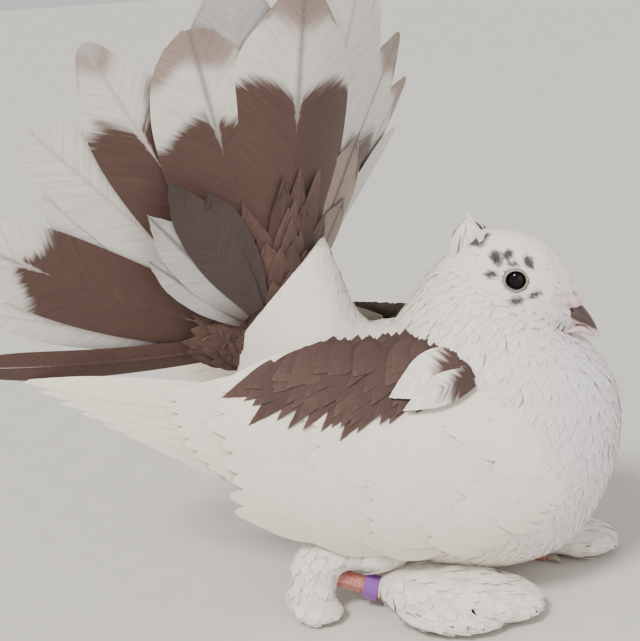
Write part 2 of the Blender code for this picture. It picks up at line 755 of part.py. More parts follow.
def hock_vanes(side):
    """Stiff feathers that trail from the hock towards the floor."""
    made = []
    out = -1.0 if side < 0 else 1.0
    hock = Vector(leg_place(side, THIGH[3])[:3])
    for number in range(5):
        f = number / 4.0
        root = hock + Vector((9.0 - 3.0 * f, out * (1.0 + 2.0 * f), 4.0 - 3.0 * f))
        way = Vector((-1.0 + 0.75 * f, out * (0.15 + 0.62 * f), -0.42 - 0.12 * f))
        way.normalize()
        reach = 27.0 - 4.0 * abs(f - 0.5)
        side_way = Vector((0.0, 1.0, 0.0)).cross(way).cross(way)
        points = [root + way * reach * share for share in (0.0, 0.4, 0.82, 1.0)]
        for point in points:
            point.z = max(point.z, 1.6)
        made.append(path_vane(points, side_way, way.cross(side_way),
                              (1.6, 4.4, 3.6, 0.7), 0.8))
    return made


def tail_nodes():
    """The fan's three groups of feathers and the coverts on both faces."""
    for name, table, angles, back, front in (
            ("tail_centre", TAIL_CENTRE, (-18.0, 24.0), -4.9, 0.6),
            ("tail_right", TAIL_RIGHT, (24.0, 100.0), -10.6, -5.15),
            ("tail_left", TAIL_LEFT, (-94.0, -18.5), -9.2, -5.15)):
        pieces = [fan_block(angles, [5.0, 22.0], back, front)]
        pieces += [fan_vane(a, reach, half, depth, skew=skew)
                   for a, reach, half, depth, skew in table]
        union(name, pieces)
    pieces = [fan_block((-30.0, 88.0), [9.0, 24.0], 1.1, 6.6)]
    for count, reach, half, depth in ((6, 65.0, 11.5, 1.9), (4, 50.0, 12.0, 4.2)):
        for k in range(count):
            f = (k + 0.5) / count
            angle = -30.0 + 116.0 * f
            long = reach - 24.0 * max(0.0, f - 0.45) - 5.0 * (k % 2)
            pieces.append(fan_vane(angle, long, half, depth + 1.1 * (k % 2),
                                   12.0, shares=SMALL_SHARES, thick=0.6))
    pieces.append(fan_vane(37.0, 77.0, 8.5, 5.9, 12.0, 0.06, SMALL_SHARES, 0.8))
    union("tail_coverts_upper", pieces)
    pieces = [fan_block((-80.0, 88.0), [5.0, 20.0], -15.8, -11.3)]
    for count, reach, half, depth in ((6, 60.0, 14.0, -12.2),):
        for k in range(count):
            angle = -80.0 + 168.0 * (k + 0.5) / count
            pieces.append(fan_vane(angle, reach - 5.0 * (k % 2), half,
                                   depth - 1.0 * (k % 2), 10.0,
                                   shares=SMALL_SHARES, thick=0.6))
    union("tail_coverts_under", pieces)


def build():
    """Every node of the bird."""
    for obj in list(bpy.data.objects):
        bpy.data.objects.remove(obj)
    torso = body_part("torso", RUMP_T, NECK_T)
    neck = body_part("neck", NECK_T, HEAD_T)
    rump = body_part("rump", 0.0, RUMP_T)
    slot = fan_block((-104.0, 118.0), [4.6, 160.0], -16.2, 7.2)
    boolean(rump, [slot], "DIFFERENCE")
    build_head()
    crest_node = crest()
    boolean(crest_node, [body_part("grown", HEAD_T, 15, GROW),
                         body_part("grown", NECK_T, HEAD_T, GROW)], "DIFFERENCE")
    for side in (-1, 1):
        wing_nodes(side)
        for target in (torso, rump, neck):
            boolean(target, [wing_sheet("cut", side, WING_CUT, GROW)], "DIFFERENCE")
        thigh = leg_nodes(side)
        union(thigh.name, [thigh] + hock_vanes(side))
        boolean(thigh, [body_part("grown", RUMP_T, NECK_T, GROW),
                        shank_cutter(side)], "DIFFERENCE")
        muff(side)
    leg_band()
    tail_nodes()
    centre_box()


def centre_box():
    """Move all nodes so the bird's box stands centred on the origin."""
    bpy.context.view_layer.update()
    low, high = [1e9] * 3, [-1e9] * 3
    for obj in bpy.data.objects:
        for vert in obj.data.vertices:
            for k in range(3):
                low[k] = min(low[k], vert.co[k])
                high[k] = max(high[k], vert.co[k])
    shift = Vector((-(low[0] + high[0]) / 2, -(low[1] + high[1]) / 2, -low[2]))
    for obj in bpy.data.objects:
        obj.data.transform(Matrix.Translation(shift))


# Colour and roughness of each node, found by the start of its name.
FINISHES = (("eye", (0.008, 0.006, 0.005), 0.08), ("bill", (0.14, 0.11, 0.10), 0.45),
            ("cere", (0.72, 0.56, 0.54), 0.6), ("claw", (0.38, 0.30, 0.25), 0.4),
            ("foot", (0.45, 0.20, 0.16), 0.5), ("shank", (0.45, 0.20, 0.16), 0.5),
            ("leg_band", (0.22, 0.07, 0.32), 0.35), ("scapulars", (0.10, 0.05, 0.04), 0.7),
            ("tail_coverts_upper", (0.08, 0.045, 0.038), 0.7),
            ("tail_coverts_under", (0.70, 0.68, 0.64), 0.75), ("tail", (0.45, 0.38, 0.34), 0.65),
            ("", (0.80, 0.77, 0.72), 0.75))


def dress():
    """Give each node its own material and gather the nodes under an empty."""
    bird = bpy.data.collections.new("fantail_pigeon")
    bpy.context.scene.collection.children.link(bird)
    base = bpy.data.objects.new("fantail_pigeon_base", None)
    bird.objects.link(base)
    for obj in [o for o in bpy.data.objects if o.type == "MESH"]:
        for place in list(obj.users_collection):
            place.objects.unlink(obj)
        bird.objects.link(obj)
        obj.parent = base
        colour, rough = next(f[1:] for f in FINISHES if obj.name.startswith(f[0]))
        made = bpy.data.materials.new(obj.name + "_finish")
        made.use_nodes = True
        surface = made.node_tree.nodes["Principled BSDF"]
        surface.inputs["Base Color"].default_value = (*colour, 1.0)
        surface.inputs["Roughness"].default_value = rough
        surface.inputs["Metallic"].default_value = 0.0
        obj.data.materials.clear()
        obj.data.materials.append(made)
        obj.data.shade_smooth()
        obj.data.set_sharp_from_angle(angle=math.radians(35))


build()
dress()
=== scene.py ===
"""Looks of a life-size fantail pigeon that stands with its tail raised.

Lengths in the sections are millimetres on the bird's own axes: +X is the way
the bill points, +Y the bird's left, +Z up, with the floor at z = 0.
"""
import itertools
import math

import bmesh
import bpy
import numpy as np
from mathutils import Matrix, Vector
from mathutils.bvhtree import BVHTree


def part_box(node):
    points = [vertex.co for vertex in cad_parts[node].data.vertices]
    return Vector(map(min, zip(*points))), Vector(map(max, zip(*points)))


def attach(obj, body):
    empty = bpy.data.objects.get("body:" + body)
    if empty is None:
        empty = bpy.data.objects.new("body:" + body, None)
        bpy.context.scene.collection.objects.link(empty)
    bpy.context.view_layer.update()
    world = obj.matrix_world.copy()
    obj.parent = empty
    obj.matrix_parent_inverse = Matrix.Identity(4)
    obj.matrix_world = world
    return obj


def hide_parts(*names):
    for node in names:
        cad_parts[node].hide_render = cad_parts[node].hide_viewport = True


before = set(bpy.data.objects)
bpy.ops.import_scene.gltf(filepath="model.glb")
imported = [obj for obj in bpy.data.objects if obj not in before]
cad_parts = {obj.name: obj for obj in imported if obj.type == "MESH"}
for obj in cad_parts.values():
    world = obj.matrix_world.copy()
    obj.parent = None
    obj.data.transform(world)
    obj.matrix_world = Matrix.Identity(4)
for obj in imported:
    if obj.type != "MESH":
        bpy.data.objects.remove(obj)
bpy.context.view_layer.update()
bpy.ops.object.select_all(action="DESELECT")


# Stage: the floor, soft studio lights and the camera of the photograph.
# The bird's own axes are found from the middle of its right eye.
low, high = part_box("eye_right")
SHIFT = (np.array(low) + np.array(high)) / 2 - np.array((25.6, -10.6, 124.0)) * 0.001


def rgb(red, green, blue):
    """Linear colour from the numbers of a paint card."""
    out = []
    for value in (red, green, blue):
        value /= 255.0
        out.append(value / 12.92 if value < 0.04045 else ((value + 0.055) / 1.055) ** 2.4)
    return np.array(out)


def shader(name, rough=0.6, **sockets):
    """New material, its Principled shader and its node tree."""
    made = bpy.data.materials.new(name)
    made.use_nodes = True
    tree = made.node_tree
    face = tree.nodes["Principled BSDF"]
    face.inputs["Roughness"].default_value = rough
    for key, value in sockets.items():
        face.inputs[key.replace("_", " ")].default_value = value
    return made, face, tree


def node(tree, kind, links=(), **values):
    """New shader node with its settings, and links to its inputs."""
    made = tree.nodes.new("ShaderNode" + kind)
    for key, value in values.items():
        if hasattr(made, key):
            setattr(made, key, value)
        else:
            made.inputs[key.replace("_", " ")].default_value = value
    for socket, source in links:
        tree.links.new(source, made.inputs[socket])
    return made


def ramp(tree, source, first_tone, last_tone, first=0.0, last=1.0):
    """Colour that a value moves from one tone to another."""
    made = node(tree, "ValToRGB", [("Fac", source)])
    for stop, tone, at in zip(made.color_ramp.elements, (first_tone, last_tone), (first, last)):
        stop.color = (*rgb(*tone), 1)
        stop.position = at
    return made.outputs["Color"]


def wire(tree, face, colour, height=None, **relief):
    """A finish's colour and fine relief, led to its shader."""
    tree.links.new(colour, face.inputs["Base Color"])
    if height is not None:
        ridge = node(tree, "Bump", [("Height", height)], **relief)
        tree.links.new(ridge.outputs[0], face.inputs["Normal"])


def mottled(name, rough, scale, first_tone, last_tone, detail=2.0, bump=0.0, **sockets):
    """Plain finish whose colour wanders between two tones, with a fine bump."""
    made, face, tree = shader(name, rough, **sockets)
    place = node(tree, "TexCoord")
    cloud = node(tree, "TexNoise", [("Vector", place.outputs["Object"])], Scale=scale,
                 Detail=detail).outputs["Fac"]
    wire(tree, face, ramp(tree, cloud, first_tone, last_tone), cloud if bump else None,
         Strength=bump, Distance=0.0003)
    return made


paper = mottled("studio_paper", 0.9, 60.0, (206, 202, 196), (216, 212, 206))
bpy.ops.mesh.primitive_plane_add(size=80.0, location=(0, 0, 0))
floor = bpy.context.object
floor.name = "floor"
floor.data.materials.append(paper)

# The camera stands to the bird's right, looks down and leans a little.
azimuth, dip, roll = math.radians(12), math.radians(15), math.radians(4)
look = Vector((-math.sin(azimuth) * math.cos(dip), math.cos(azimuth) * math.cos(dip),
               -math.sin(dip)))
right = Vector((math.cos(azimuth), math.sin(azimuth), 0))
upward = right.cross(look)
wide = right * math.cos(roll) - upward * math.sin(roll)
tall = right * math.sin(roll) + upward * math.cos(roll)
eye_point = Vector((0.0477, -0.4620, 0.2329)) + Vector(SHIFT)
lens = bpy.data.cameras.new("photo_view")
lens.sensor_width = 36.0
lens.lens = 70.9
lens.clip_start = 0.01
camera = bpy.data.objects.new("photo_view", lens)
bpy.context.scene.collection.objects.link(camera)
turn = Matrix((wide, tall, -look)).transposed().to_4x4()
camera.matrix_world = Matrix.Translation(eye_point) @ turn
bpy.context.scene.camera = camera

soft = bpy.data.lights.new("fill", "AREA")
soft.size, soft.energy, soft.color = 0.9, 4.0, (0.97, 0.98, 1.0)
fill = bpy.data.objects.new("fill", soft)
bpy.context.scene.collection.objects.link(fill)
FILL_AT, FILL_TO = Vector((0.9, -0.9, 0.45)), Vector((0, 0, 0.1))
aim = (FILL_TO - FILL_AT).to_track_quat("-Z", "Y").to_matrix().to_4x4()
fill.matrix_world = Matrix.Translation(FILL_AT) @ aim
sun = bpy.data.lights.new("key", "SUN")
sun.angle, sun.energy, sun.color = math.radians(14), 3.3, (1.0, 0.98, 0.95)
key = bpy.data.objects.new("key", sun)
bpy.context.scene.collection.objects.link(key)
key.rotation_euler = Vector((0.30, 0.75, -0.85)).to_track_quat("-Z", "Y").to_euler()
world = bpy.data.worlds.new("studio")
world.use_nodes = True
world.node_tree.nodes["Background"].inputs["Color"].default_value = (0.93, 0.92, 0.90, 1)
world.node_tree.nodes["Background"].inputs["Strength"].default_value = 0.78
bpy.context.scene.world = world


# Skin: one smooth body from the root of the tail to the bill, with no seam.
# It lies about 1 mm under the tips of the small feathers that cover it, less
# on the head, and has a hollow for each eye.

# Stations from tail to bill: top x z, bottom x z and half width.
BODY = np.array([
    (-47.0, 139.0, -86.0, 96.0, 15.0), (-42.0, 124.0, -82.0, 74.0, 22.0),
    (-37.5, 110.0, -66.0, 46.0, 33.0), (-32.5, 103.5, -38.0, 20.0, 41.0),
    (-28.0, 102.5, -8.0, 9.5, 45.0), (-24.5, 103.5, 22.0, 9.5, 45.5),
    (-21.5, 106.2, 45.0, 20.0, 44.0), (-18.5, 109.8, 58.0, 42.0, 41.0),
    (-15.2, 114.0, 62.5, 62.0, 37.0), (-11.6, 119.2, 61.0, 80.0, 31.5),
    (-6.6, 125.2, 54.0, 92.0, 25.0), (-0.2, 131.8, 46.8, 98.6, 19.0),
    (8.5, 139.2, 43.2, 101.2, 15.5), (21.0, 140.4, 42.6, 102.4, 14.2),
    (34.2, 136.0, 44.4, 102.0, 11.3), (44.3, 124.8, 46.4, 102.0, 5.2),
    (45.9, 117.0, 47.0, 104.0, 3.2), (46.6, 112.0, 47.0, 107.0, 1.2)])
EYE = np.array((25.6, 10.6, 124.0))


def between(table, at):
    """Smooth values of a table of stations at fractional rows."""
    at = np.clip(np.asarray(at, float), 0.0, len(table) - 1.0)
    row = np.minimum(at.astype(int), len(table) - 2)
    part = (at - row)[..., None]
    p1, p2 = table[row], table[row + 1]
    p0 = np.where((row > 0)[..., None], table[np.maximum(row - 1, 0)], 2 * p1 - p2)
    last = (row + 2 < len(table))[..., None]
    p3 = np.where(last, table[np.minimum(row + 2, len(table) - 1)], 2 * p2 - p1)
    return 0.5 * (2 * p1 + (p2 - p0) * part + (2 * p0 - 5 * p1 + 4 * p2 - p3) * part ** 2
                  + (3 * p1 - p0 - 3 * p2 + p3) * part ** 3)


def joined(*parts):
    """Arrays brought to one shape and set side by side in a last axis."""
    return np.stack(np.broadcast_arrays(*parts), -1)


def hoop(row, turn, power=1.0):
    """Points of oval rings from rows of top, bottom and half width."""
    cos, sin = np.cos(turn), np.sin(turn)
    sin = np.sign(sin) * np.abs(sin) ** power
    x = (row[..., 0] + row[..., 2]) / 2 + (row[..., 0] - row[..., 2]) / 2 * cos
    z = (row[..., 1] + row[..., 3]) / 2 + (row[..., 1] - row[..., 3]) / 2 * cos
    return joined(x, row[..., 4] * sin, z)


def body(at, turn):
    """Points of the bird's form: station along it and turn about it."""
    return hoop(between(BODY, at), turn)


def unit(vectors):
    """Vectors scaled to length one."""
    return vectors / np.maximum(np.linalg.norm(vectors, axis=-1, keepdims=True), 1e-9)


def body_facing(at, turn):
    """Outward directions of the bird's form, as long as a patch there is large."""
    along = body(at + 0.02, turn) - body(at - 0.02, turn)
    about = body(at, turn + 0.02) - body(at, turn - 0.02)
    return np.cross(along, about)


def grid_faces(rows, cols, wrap):
    """Quads of a grid of rows by columns, closed round or open."""
    r, c = np.meshgrid(np.arange(rows - 1), np.arange(cols if wrap else cols - 1),
                       indexing="ij")
    d = (c + 1) % cols
    quads = np.stack([r * cols + c, r * cols + d, (r + 1) * cols + d, (r + 1) * cols + c], -1)
    return quads.reshape(-1, 4)


def paint_points(mesh, key, values):
    """Colours or numbers kept on a mesh's points under a name."""
    if values.ndim == 2:
        layer = mesh.color_attributes.new(key, "FLOAT_COLOR", "POINT")
        full = np.ones((len(mesh.vertices), 4), np.float32)
        full[:, :3] = values
        layer.data.foreach_set("color", full.ravel())
    else:
        layer = mesh.attributes.new(key, "FLOAT", "POINT")
        layer.data.foreach_set("value", values.astype(np.float32))


def mesh_piece(name, verts, quads, material, tint, maps, extra, lean, share):
    """Object from arrays of millimetre points and quads, with colours and maps.

    Its shading leans by a share towards the given directions, where there are any.
    """
    mesh = bpy.data.meshes.new(name)
    mesh.vertices.add(len(verts))
    mesh.vertices.foreach_set("co", (verts * 0.001 + SHIFT).astype(np.float32).ravel())
    mesh.loops.add(quads.size)
    mesh.loops.foreach_set("vertex_index", quads.astype(np.int32).ravel())
    mesh.polygons.add(len(quads))
    mesh.polygons.foreach_set("loop_start", np.arange(0, quads.size, 4, dtype=np.int32))
    mesh.update(calc_edges=True)
    for key, values in (("tint", tint), *extra):
        paint_points(mesh, key, values)
    for key, values in maps:
        layer = mesh.uv_layers.new(name=key)
        layer.data.foreach_set("uv", values[quads.ravel()].astype(np.float32).ravel())
    mesh.set_sharp_from_angle(angle=math.radians(75))
    mesh.polygons.foreach_set("use_smooth", np.ones(len(quads), bool))
    if lean is not None:
        own = np.empty(len(mesh.loops) * 3, np.float32)
        mesh.corner_normals.foreach_get("vector", own)
        soft = unit(lean * share + own.reshape(-1, 3) * (1 - share))
        mesh.normals_split_custom_set(soft.tolist())
    mesh.materials.append(material)
    made = bpy.data.objects.new(name, mesh)
    bpy.context.scene.collection.objects.link(made)
    return made


# SHADE_LILAC is painted shade: the cool lilac cast of the white feathers in shade.
CREAM, SHADE_LILAC, WARM = rgb(240, 233, 222), rgb(236, 229, 231), rgb(243, 234, 214)
SOOT, BROWN, TAUPE = rgb(26, 23, 25), rgb(84, 60, 52), rgb(146, 128, 118)
# Dark flecks round the eye: x, z, half length, half height and tilt.
FLECKS = ((10.3, 137.5, 3.6, 1.6, -0.2), (14.6, 139.3, 2.6, 1.3, 0.9),
          (18.2, 133.0, 2.0, 1.5, 0.0), (22.9, 133.0, 2.0, 1.6, 0.4),
          (19.3, 130.9, 1.7, 1.4, 0.0), (30.3, 130.2, 1.4, 2.4, 0.6),
          (17.0, 126.6, 2.3, 1.3, 0.0), (25.6, 117.2, 2.6, 1.4, 0.1),
          (32.2, 118.7, 2.4, 1.2, 0.2), (24.7, 129.9, 1.8, 0.8, 0.0))


def body_tint(points):
    """Colour of the small feathers and the skin at points of the body, with painted shade: a cool
    lilac cast towards the front.
    """
    x, y, z = points[..., 0], points[..., 1], points[..., 2]
    # Painted shade: cream turns to a cool lilac towards the front of the bird, over the face, neck
    # and breast.
    front_shade = np.clip((x - 15) / 35.0, 0, 1)[..., None]
    tint = CREAM * (1 - front_shade) + SHADE_LILAC * front_shade
    belly = np.clip((55 - z) / 60.0, 0, 0.7)[..., None] * (1 - front_shade)
    tint = tint * (1 - belly) + WARM * belly
    wave = np.sin(x * 1.1 + z * 4.3) * 0.4 + np.sin(z * 2.9 - x * 0.8 + y) * 0.4
    for cx, cz, wide, tall, tilt in FLECKS:
        cos, sin = math.cos(tilt), math.sin(tilt)
        across = ((x - cx) * cos + (z - cz) * sin) / wide
        up = ((z - cz) * cos - (x - cx) * sin) / tall
        near = np.clip(2.7 - 2.0 * np.sqrt(across ** 2 + up ** 2) + 0.6 * wave, 0, 1)
        near = (near * (np.abs(y) > 4.0) * 0.93)[..., None]
        tint = tint * (1 - near) + SOOT * near
    return tint


def spread_range(tree, source, lo, hi, to_lo, to_hi, **settings):
    """A value moved from one range to another."""
    made = node(tree, "MapRange", [("Value", source)], **settings)
    for key, value in (("From Min", lo), ("From Max", hi), ("To Min", to_lo), ("To Max", to_hi)):
        made.inputs[key].default_value = value
    return made.outputs[0]


def summed(tree, one, two, operation="ADD"):
    """Sum or difference of two values."""
    return node(tree, "Math", [(0, one), (1, two)], operation=operation).outputs[0]


def barb_noise(tree, lane, across, along, detail):
    """Noise drawn out along the barbs."""
    at = node(tree, "Mapping", [("Vector", lane)])
    at.inputs["Scale"].default_value = (across, 1, along)
    made = node(tree, "TexNoise", [("Vector", at.outputs[0])], Scale=1.0, Detail=detail)
    return made.outputs["Fac"]


def scaled(tree, colour, factor):
    """Colour made darker or lighter by a factor."""
    made = node(tree, "VectorMath", [(0, colour)], operation="SCALE")
    tree.links.new(factor, made.inputs["Scale"])
    return made.outputs[0]


def streaks(name, rough, sheen, scale=1.0, marked=False, bump=0.12):
    """Feather material: barbs that run out from the shaft, tinted by the piece.

    A marked one lays the colour "mark" over "tint" where "edge" is above nought.
    """
    made, face, tree = shader(name, rough, Sheen_Weight=sheen, Sheen_Roughness=0.5,
                              Specular_IOR_Level=0.32)
    place = node(tree, "UVMap", uv_map="feather")
    split = node(tree, "SeparateXYZ", [("Vector", place.outputs["UV"])])
    side = node(tree, "Math", [(0, split.outputs["X"])], operation="ABSOLUTE")
    barb = summed(tree, split.outputs["Y"], side.outputs[0], "SUBTRACT")
    lane = node(tree, "CombineXYZ", [("X", barb), ("Z", split.outputs["Y"])]).outputs[0]
    fine = barb_noise(tree, lane, 260 * scale, 4, 2.0)
    broad = barb_noise(tree, lane, 60 * scale, 7, 3.0)
    mixed = summed(tree, fine, broad)
    dark, light = (0.74, 1.16) if marked else (0.88, 1.05)
    tone = spread_range(tree, mixed, 0.6, 1.4, dark, light)
    colour = node(tree, "VertexColor", layer_name="tint").outputs["Color"]
    if marked:
        mark = node(tree, "VertexColor", layer_name="mark")
        edge = node(tree, "Attribute", attribute_name="edge")
        shake = spread_range(tree, broad, 0.25, 0.75, -0.5, 0.5)
        moved = summed(tree, edge.outputs["Fac"], shake)
        cut = spread_range(tree, moved, -0.55, 0.55, 0.0, 1.0, interpolation_type="SMOOTHSTEP")
        blend = node(tree, "Mix", data_type="RGBA")
        tree.links.new(cut, blend.inputs["Factor"])
        tree.links.new(colour, blend.inputs[6])
        tree.links.new(mark.outputs["Color"], blend.inputs[7])
        colour = blend.outputs[2]
    wire(tree, face, scaled(tree, colour, tone), mixed, Strength=bump, Distance=0.0004)
    return made


skin_coat, face, tree = shader("down_skin", 0.8, Sheen_Weight=0.2)
paint = node(tree, "VertexColor", layer_name="tint").outputs["Color"]
place = node(tree, "TexCoord")
nap_at = node(tree, "Mapping", [("Vector", place.outputs["Object"])])
nap_at.inputs["Scale"].default_value = (500, 900, 900)
nap = node(tree, "TexNoise", [("Vector", nap_at.outputs[0])], Scale=1.0,
           Detail=3.0).outputs["Fac"]
tone = spread_range(tree, nap, 0.0, 1.0, 0.78, 1.0)
wire(tree, face, scaled(tree, paint, tone), nap, Strength=0.4, Distance=0.0005)

SKIN_ROWS, SKIN_COLS = 181, 120
END = len(BODY) - 1.0
skin_at, skin_turn = np.meshgrid(np.linspace(0, END, SKIN_ROWS),
                                 np.arange(SKIN_COLS) * 2 * math.pi / SKIN_COLS, indexing="ij")
form_points = body(skin_at, skin_turn).reshape(-1, 3)
skin_quads = grid_faces(SKIN_ROWS, SKIN_COLS, True)[:, ::-1]
form_tree = BVHTree.FromPolygons(form_points.tolist(), skin_quads.tolist())
normals = unit(body_facing(np.clip(skin_at, 0.03, END - 0.03), skin_turn)).reshape(-1, 3)
depth = np.interp(skin_at.ravel(), [0, 8, 11, END], [1.1, 0.9, 0.45, 0.4])[:, None]
skin_points = form_points - normals * depth
HOLLOW = 4.9
for side in (-1, 1):
    gap = np.hypot(skin_points[:, 0] - EYE[0], skin_points[:, 2] - EYE[2])
    here = (skin_points[:, 1] * side > 5.0) & (gap < HOLLOW)
    skin_points[here, 1] -= side * 3.2 * np.clip((HOLLOW - gap[here]) / 1.2, 0, 1)
cap = np.stack([skin_points[:SKIN_COLS].mean(0), skin_points[-SKIN_COLS:].mean(0)])
first = len(skin_points)
ring = np.arange(SKIN_COLS)
after, front = (ring + 1) % SKIN_COLS, first - SKIN_COLS
ends = [*joined(ring, after, first), *joined(after + front, ring + front, first + 1)]


def to_mesh(name, points, faces, material):
    """Object from millimetre points and faces of any count."""
    mesh = bpy.data.meshes.new(name)
    mesh.from_pydata((points * 0.001 + SHIFT).tolist(), [], [list(f) for f in faces])
    work = bmesh.new()
    work.from_mesh(mesh)
    bmesh.ops.recalc_face_normals(work, faces=work.faces[:])
    work.to_mesh(mesh)
    work.free()
    mesh.polygons.foreach_set("use_smooth", np.ones(len(mesh.polygons), bool))
    mesh.materials.append(material)
    made = bpy.data.objects.new(name, mesh)
    bpy.context.scene.collection.objects.link(made)
    return made


skin = to_mesh("skin", np.vstack([skin_points, cap]), [*skin_quads, *ends], skin_coat)
paint_points(skin.data, "tint", np.vstack([body_tint(form_points) * 0.92, CREAM, CREAM]))
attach(skin, "root")
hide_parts("torso", "rump", "neck", "head")


# Small body feathers: thin rounded vanes that lie back from the bill to the
# tail and overlap like shingles, small on the face and larger to the rear.
def vane_template(nu, nv):
    """Quads of one closed thin vane and its count of points."""
    top = np.arange(nu * nv).reshape(nv, nu)
    low = top.copy()
    low[1:-1, 1:-1] = nu * nv + np.arange((nu - 2) * (nv - 2)).reshape(nv - 2, nu - 2)
    quads = []
    for grid, flip in ((top, 1), (low, -1)):
        face = np.stack([grid[:-1, :-1], grid[:-1, 1:], grid[1:, 1:], grid[1:, :-1]], -1)
        quads.append(face.reshape(-1, 4)[:, ::flip])
    return np.concatenate(quads), nu * nv + (nu - 2) * (nv - 2)


def vane_piece(name, tops, under, material, tints, maps, extra=(), lean=None, share=0.7):
    """Joined closed vanes from their top grids: (count, rows, columns, 3)."""
    count, nv, nu, _ = tops.shape
    quads, size = vane_template(nu, nv)
    inner = (slice(None), slice(1, -1), slice(1, -1))
    across = tops[:, 1:, 1:] - tops[:, 1:, :-1]
    along = tops[:, 1:, 1:] - tops[:, :-1, 1:]
    if (np.cross(across, along) * under[:, 1:, 1:]).sum() < 0:
        quads = quads[:, ::-1]
    verts = np.concatenate([tops.reshape(count, -1, 3),
                            (tops - under)[inner].reshape(count, -1, 3)], 1)
    all_quads = (quads[None] + (np.arange(count) * size)[:, None, None]).reshape(-1, 4)

    def spread(values):
        """The values of the top grid, and again for the underside."""
        last = values.shape[-1] if values.ndim == 4 else 1
        both = np.concatenate([values.reshape(count, -1, last),
                               values[inner].reshape(count, -1, last)], 1)
        return both.reshape(-1, last) if values.ndim == 4 else both.ravel()
    if lean is not None:
        sign = np.where(np.arange(len(quads)) < (nu - 1) * (nv - 1), 1.0, 0.0)
        lean = spread(np.broadcast_to(lean, tops.shape))[all_quads.ravel()]
        lean = lean * np.tile(np.repeat(sign, 4), count)[:, None]
    made = mesh_piece(name, verts.reshape(-1, 3), all_quads, material, spread(tints),
                      [(key, spread(values)) for key, values in maps],
                      [(key, spread(values)) for key, values in extra], lean, share)
    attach(made, "root")
    return made


def drape(tree, points, lifts):
    """Points laid on the nearest place of a form, at given heights."""
    flat = points.reshape(-1, 3)
    heights = np.broadcast_to(lifts, points.shape[:-1]).ravel()
    out, facing = np.empty_like(flat), np.empty_like(flat)
    for k in range(len(flat)):
        spot, normal, _, _ = tree.find_nearest(flat[k])
        out[k], facing[k] = spot, normal
    return (out + facing * heights[:, None]).reshape(points.shape), facing.reshape(points.shape)


def scatter(candidates, gap, rng):
    """Evenly spread subset of points at a spacing that may change."""
    kept, cells = [], {}
    order = rng.permutation(len(candidates))
    keys = np.floor(candidates / float(gap.max())).astype(int)
    steps = list(itertools.product((-1, 0, 1), repeat=3))
    for k in order:
        i, j, m = keys[k]
        apart = (candidates[k] - candidates[other] for a, b, c in steps
                 for other in cells.get((i + a, j + b, m + c), ()))
        if all(step @ step >= gap[k] * gap[k] for step in apart):
            kept.append(k)
            cells.setdefault((i, j, m), []).append(k)
    return np.array(kept)


small_coat = streaks("body_feather_barbs", 0.72, 0.25, 1.6)


def small_feathers(name, roots, normals, ways, long, half, tree, tint, bake, rng, rows,
                   lift, point, thick, camber, share, stray=0.10, cols=3):
    """Small feathers draped on a form, with their colours and maps.

    Each rises from the first lift at its root to the second at its tip, in mm.
    """
    count = len(roots)
    ways = unit(ways - normals * np.sum(ways * normals, -1, keepdims=True))
    swing = rng.normal(0, 0.10, count)[:, None]
    sides = unit(np.cross(normals, ways))
    ways = unit(ways + sides * swing)
    sides = unit(np.cross(normals, ways))
    v = np.linspace(0, 1, rows) ** 0.85
    u = np.linspace(-1, 1, cols)
    body_width = np.where(v < 0.6, 0.45 + 0.55 * np.sin(np.clip(v / 0.6, 0, 1) * math.pi / 2),
                          np.sqrt(np.clip(1 - ((v - 0.6) / 0.4) ** 2 * (1 - point ** 2), 0, 1)))
    along = v[:, None] * (1 - 0.16 * np.abs(u[None]) ** 2.2)
    across = body_width[:, None] * u[None]
    size = 1 + rng.normal(0, 0.08, count)
    reach = along[None] * (long * size)[:, None, None]
    spread = across[None] * (half * size)[:, None, None]
    tops = (roots[:, None, None] + ways[:, None, None] * reach[..., None]
            + sides[:, None, None] * spread[..., None])
    rise = lift[0] + (lift[1] - lift[0]) * v[:, None] ** 0.8 - camber * np.abs(u[None]) ** 2
    loose = rng.normal(0, stray, count)[:, None, None]
    tops, facing = drape(tree, tops, rise[None] + loose * v[None, :, None])
    under = np.broadcast_to(normals[:, None, None] * thick, tops.shape)
    shade = 1 + rng.normal(0, 0.018, count)[:, None, None]
    fall = 0.95 + 0.06 * v[None, :, None]
    tints = tint(tops) * (shade * fall)[..., None]
    seed = rng.random(count)[:, None, None] * 30
    plan = joined(across[None] * half[:, None, None] / 100,
                  along[None] * long[:, None, None] / 100 + seed)
    patch = np.stack([across * 0.0015, along * 0.003 - 0.0015], -1)
    spots = bake[:, None, None] + patch[None]
    return vane_piece(name, tops, under, small_coat, tints,
                      [("feather", plan), ("OFBake", spots)], (), facing, share)


def body_sample(count, start, end, seed):
    """Even random stations and turns over the body form."""
    rng = np.random.default_rng(seed)
    at = rng.uniform(start, end, count * 6)
    turn = rng.uniform(0, 2 * math.pi, count * 6)
    area = np.linalg.norm(body_facing(at, turn), axis=-1)
    keep = rng.random(len(at)) < area / np.percentile(area, 97)
    return at[keep], turn[keep]


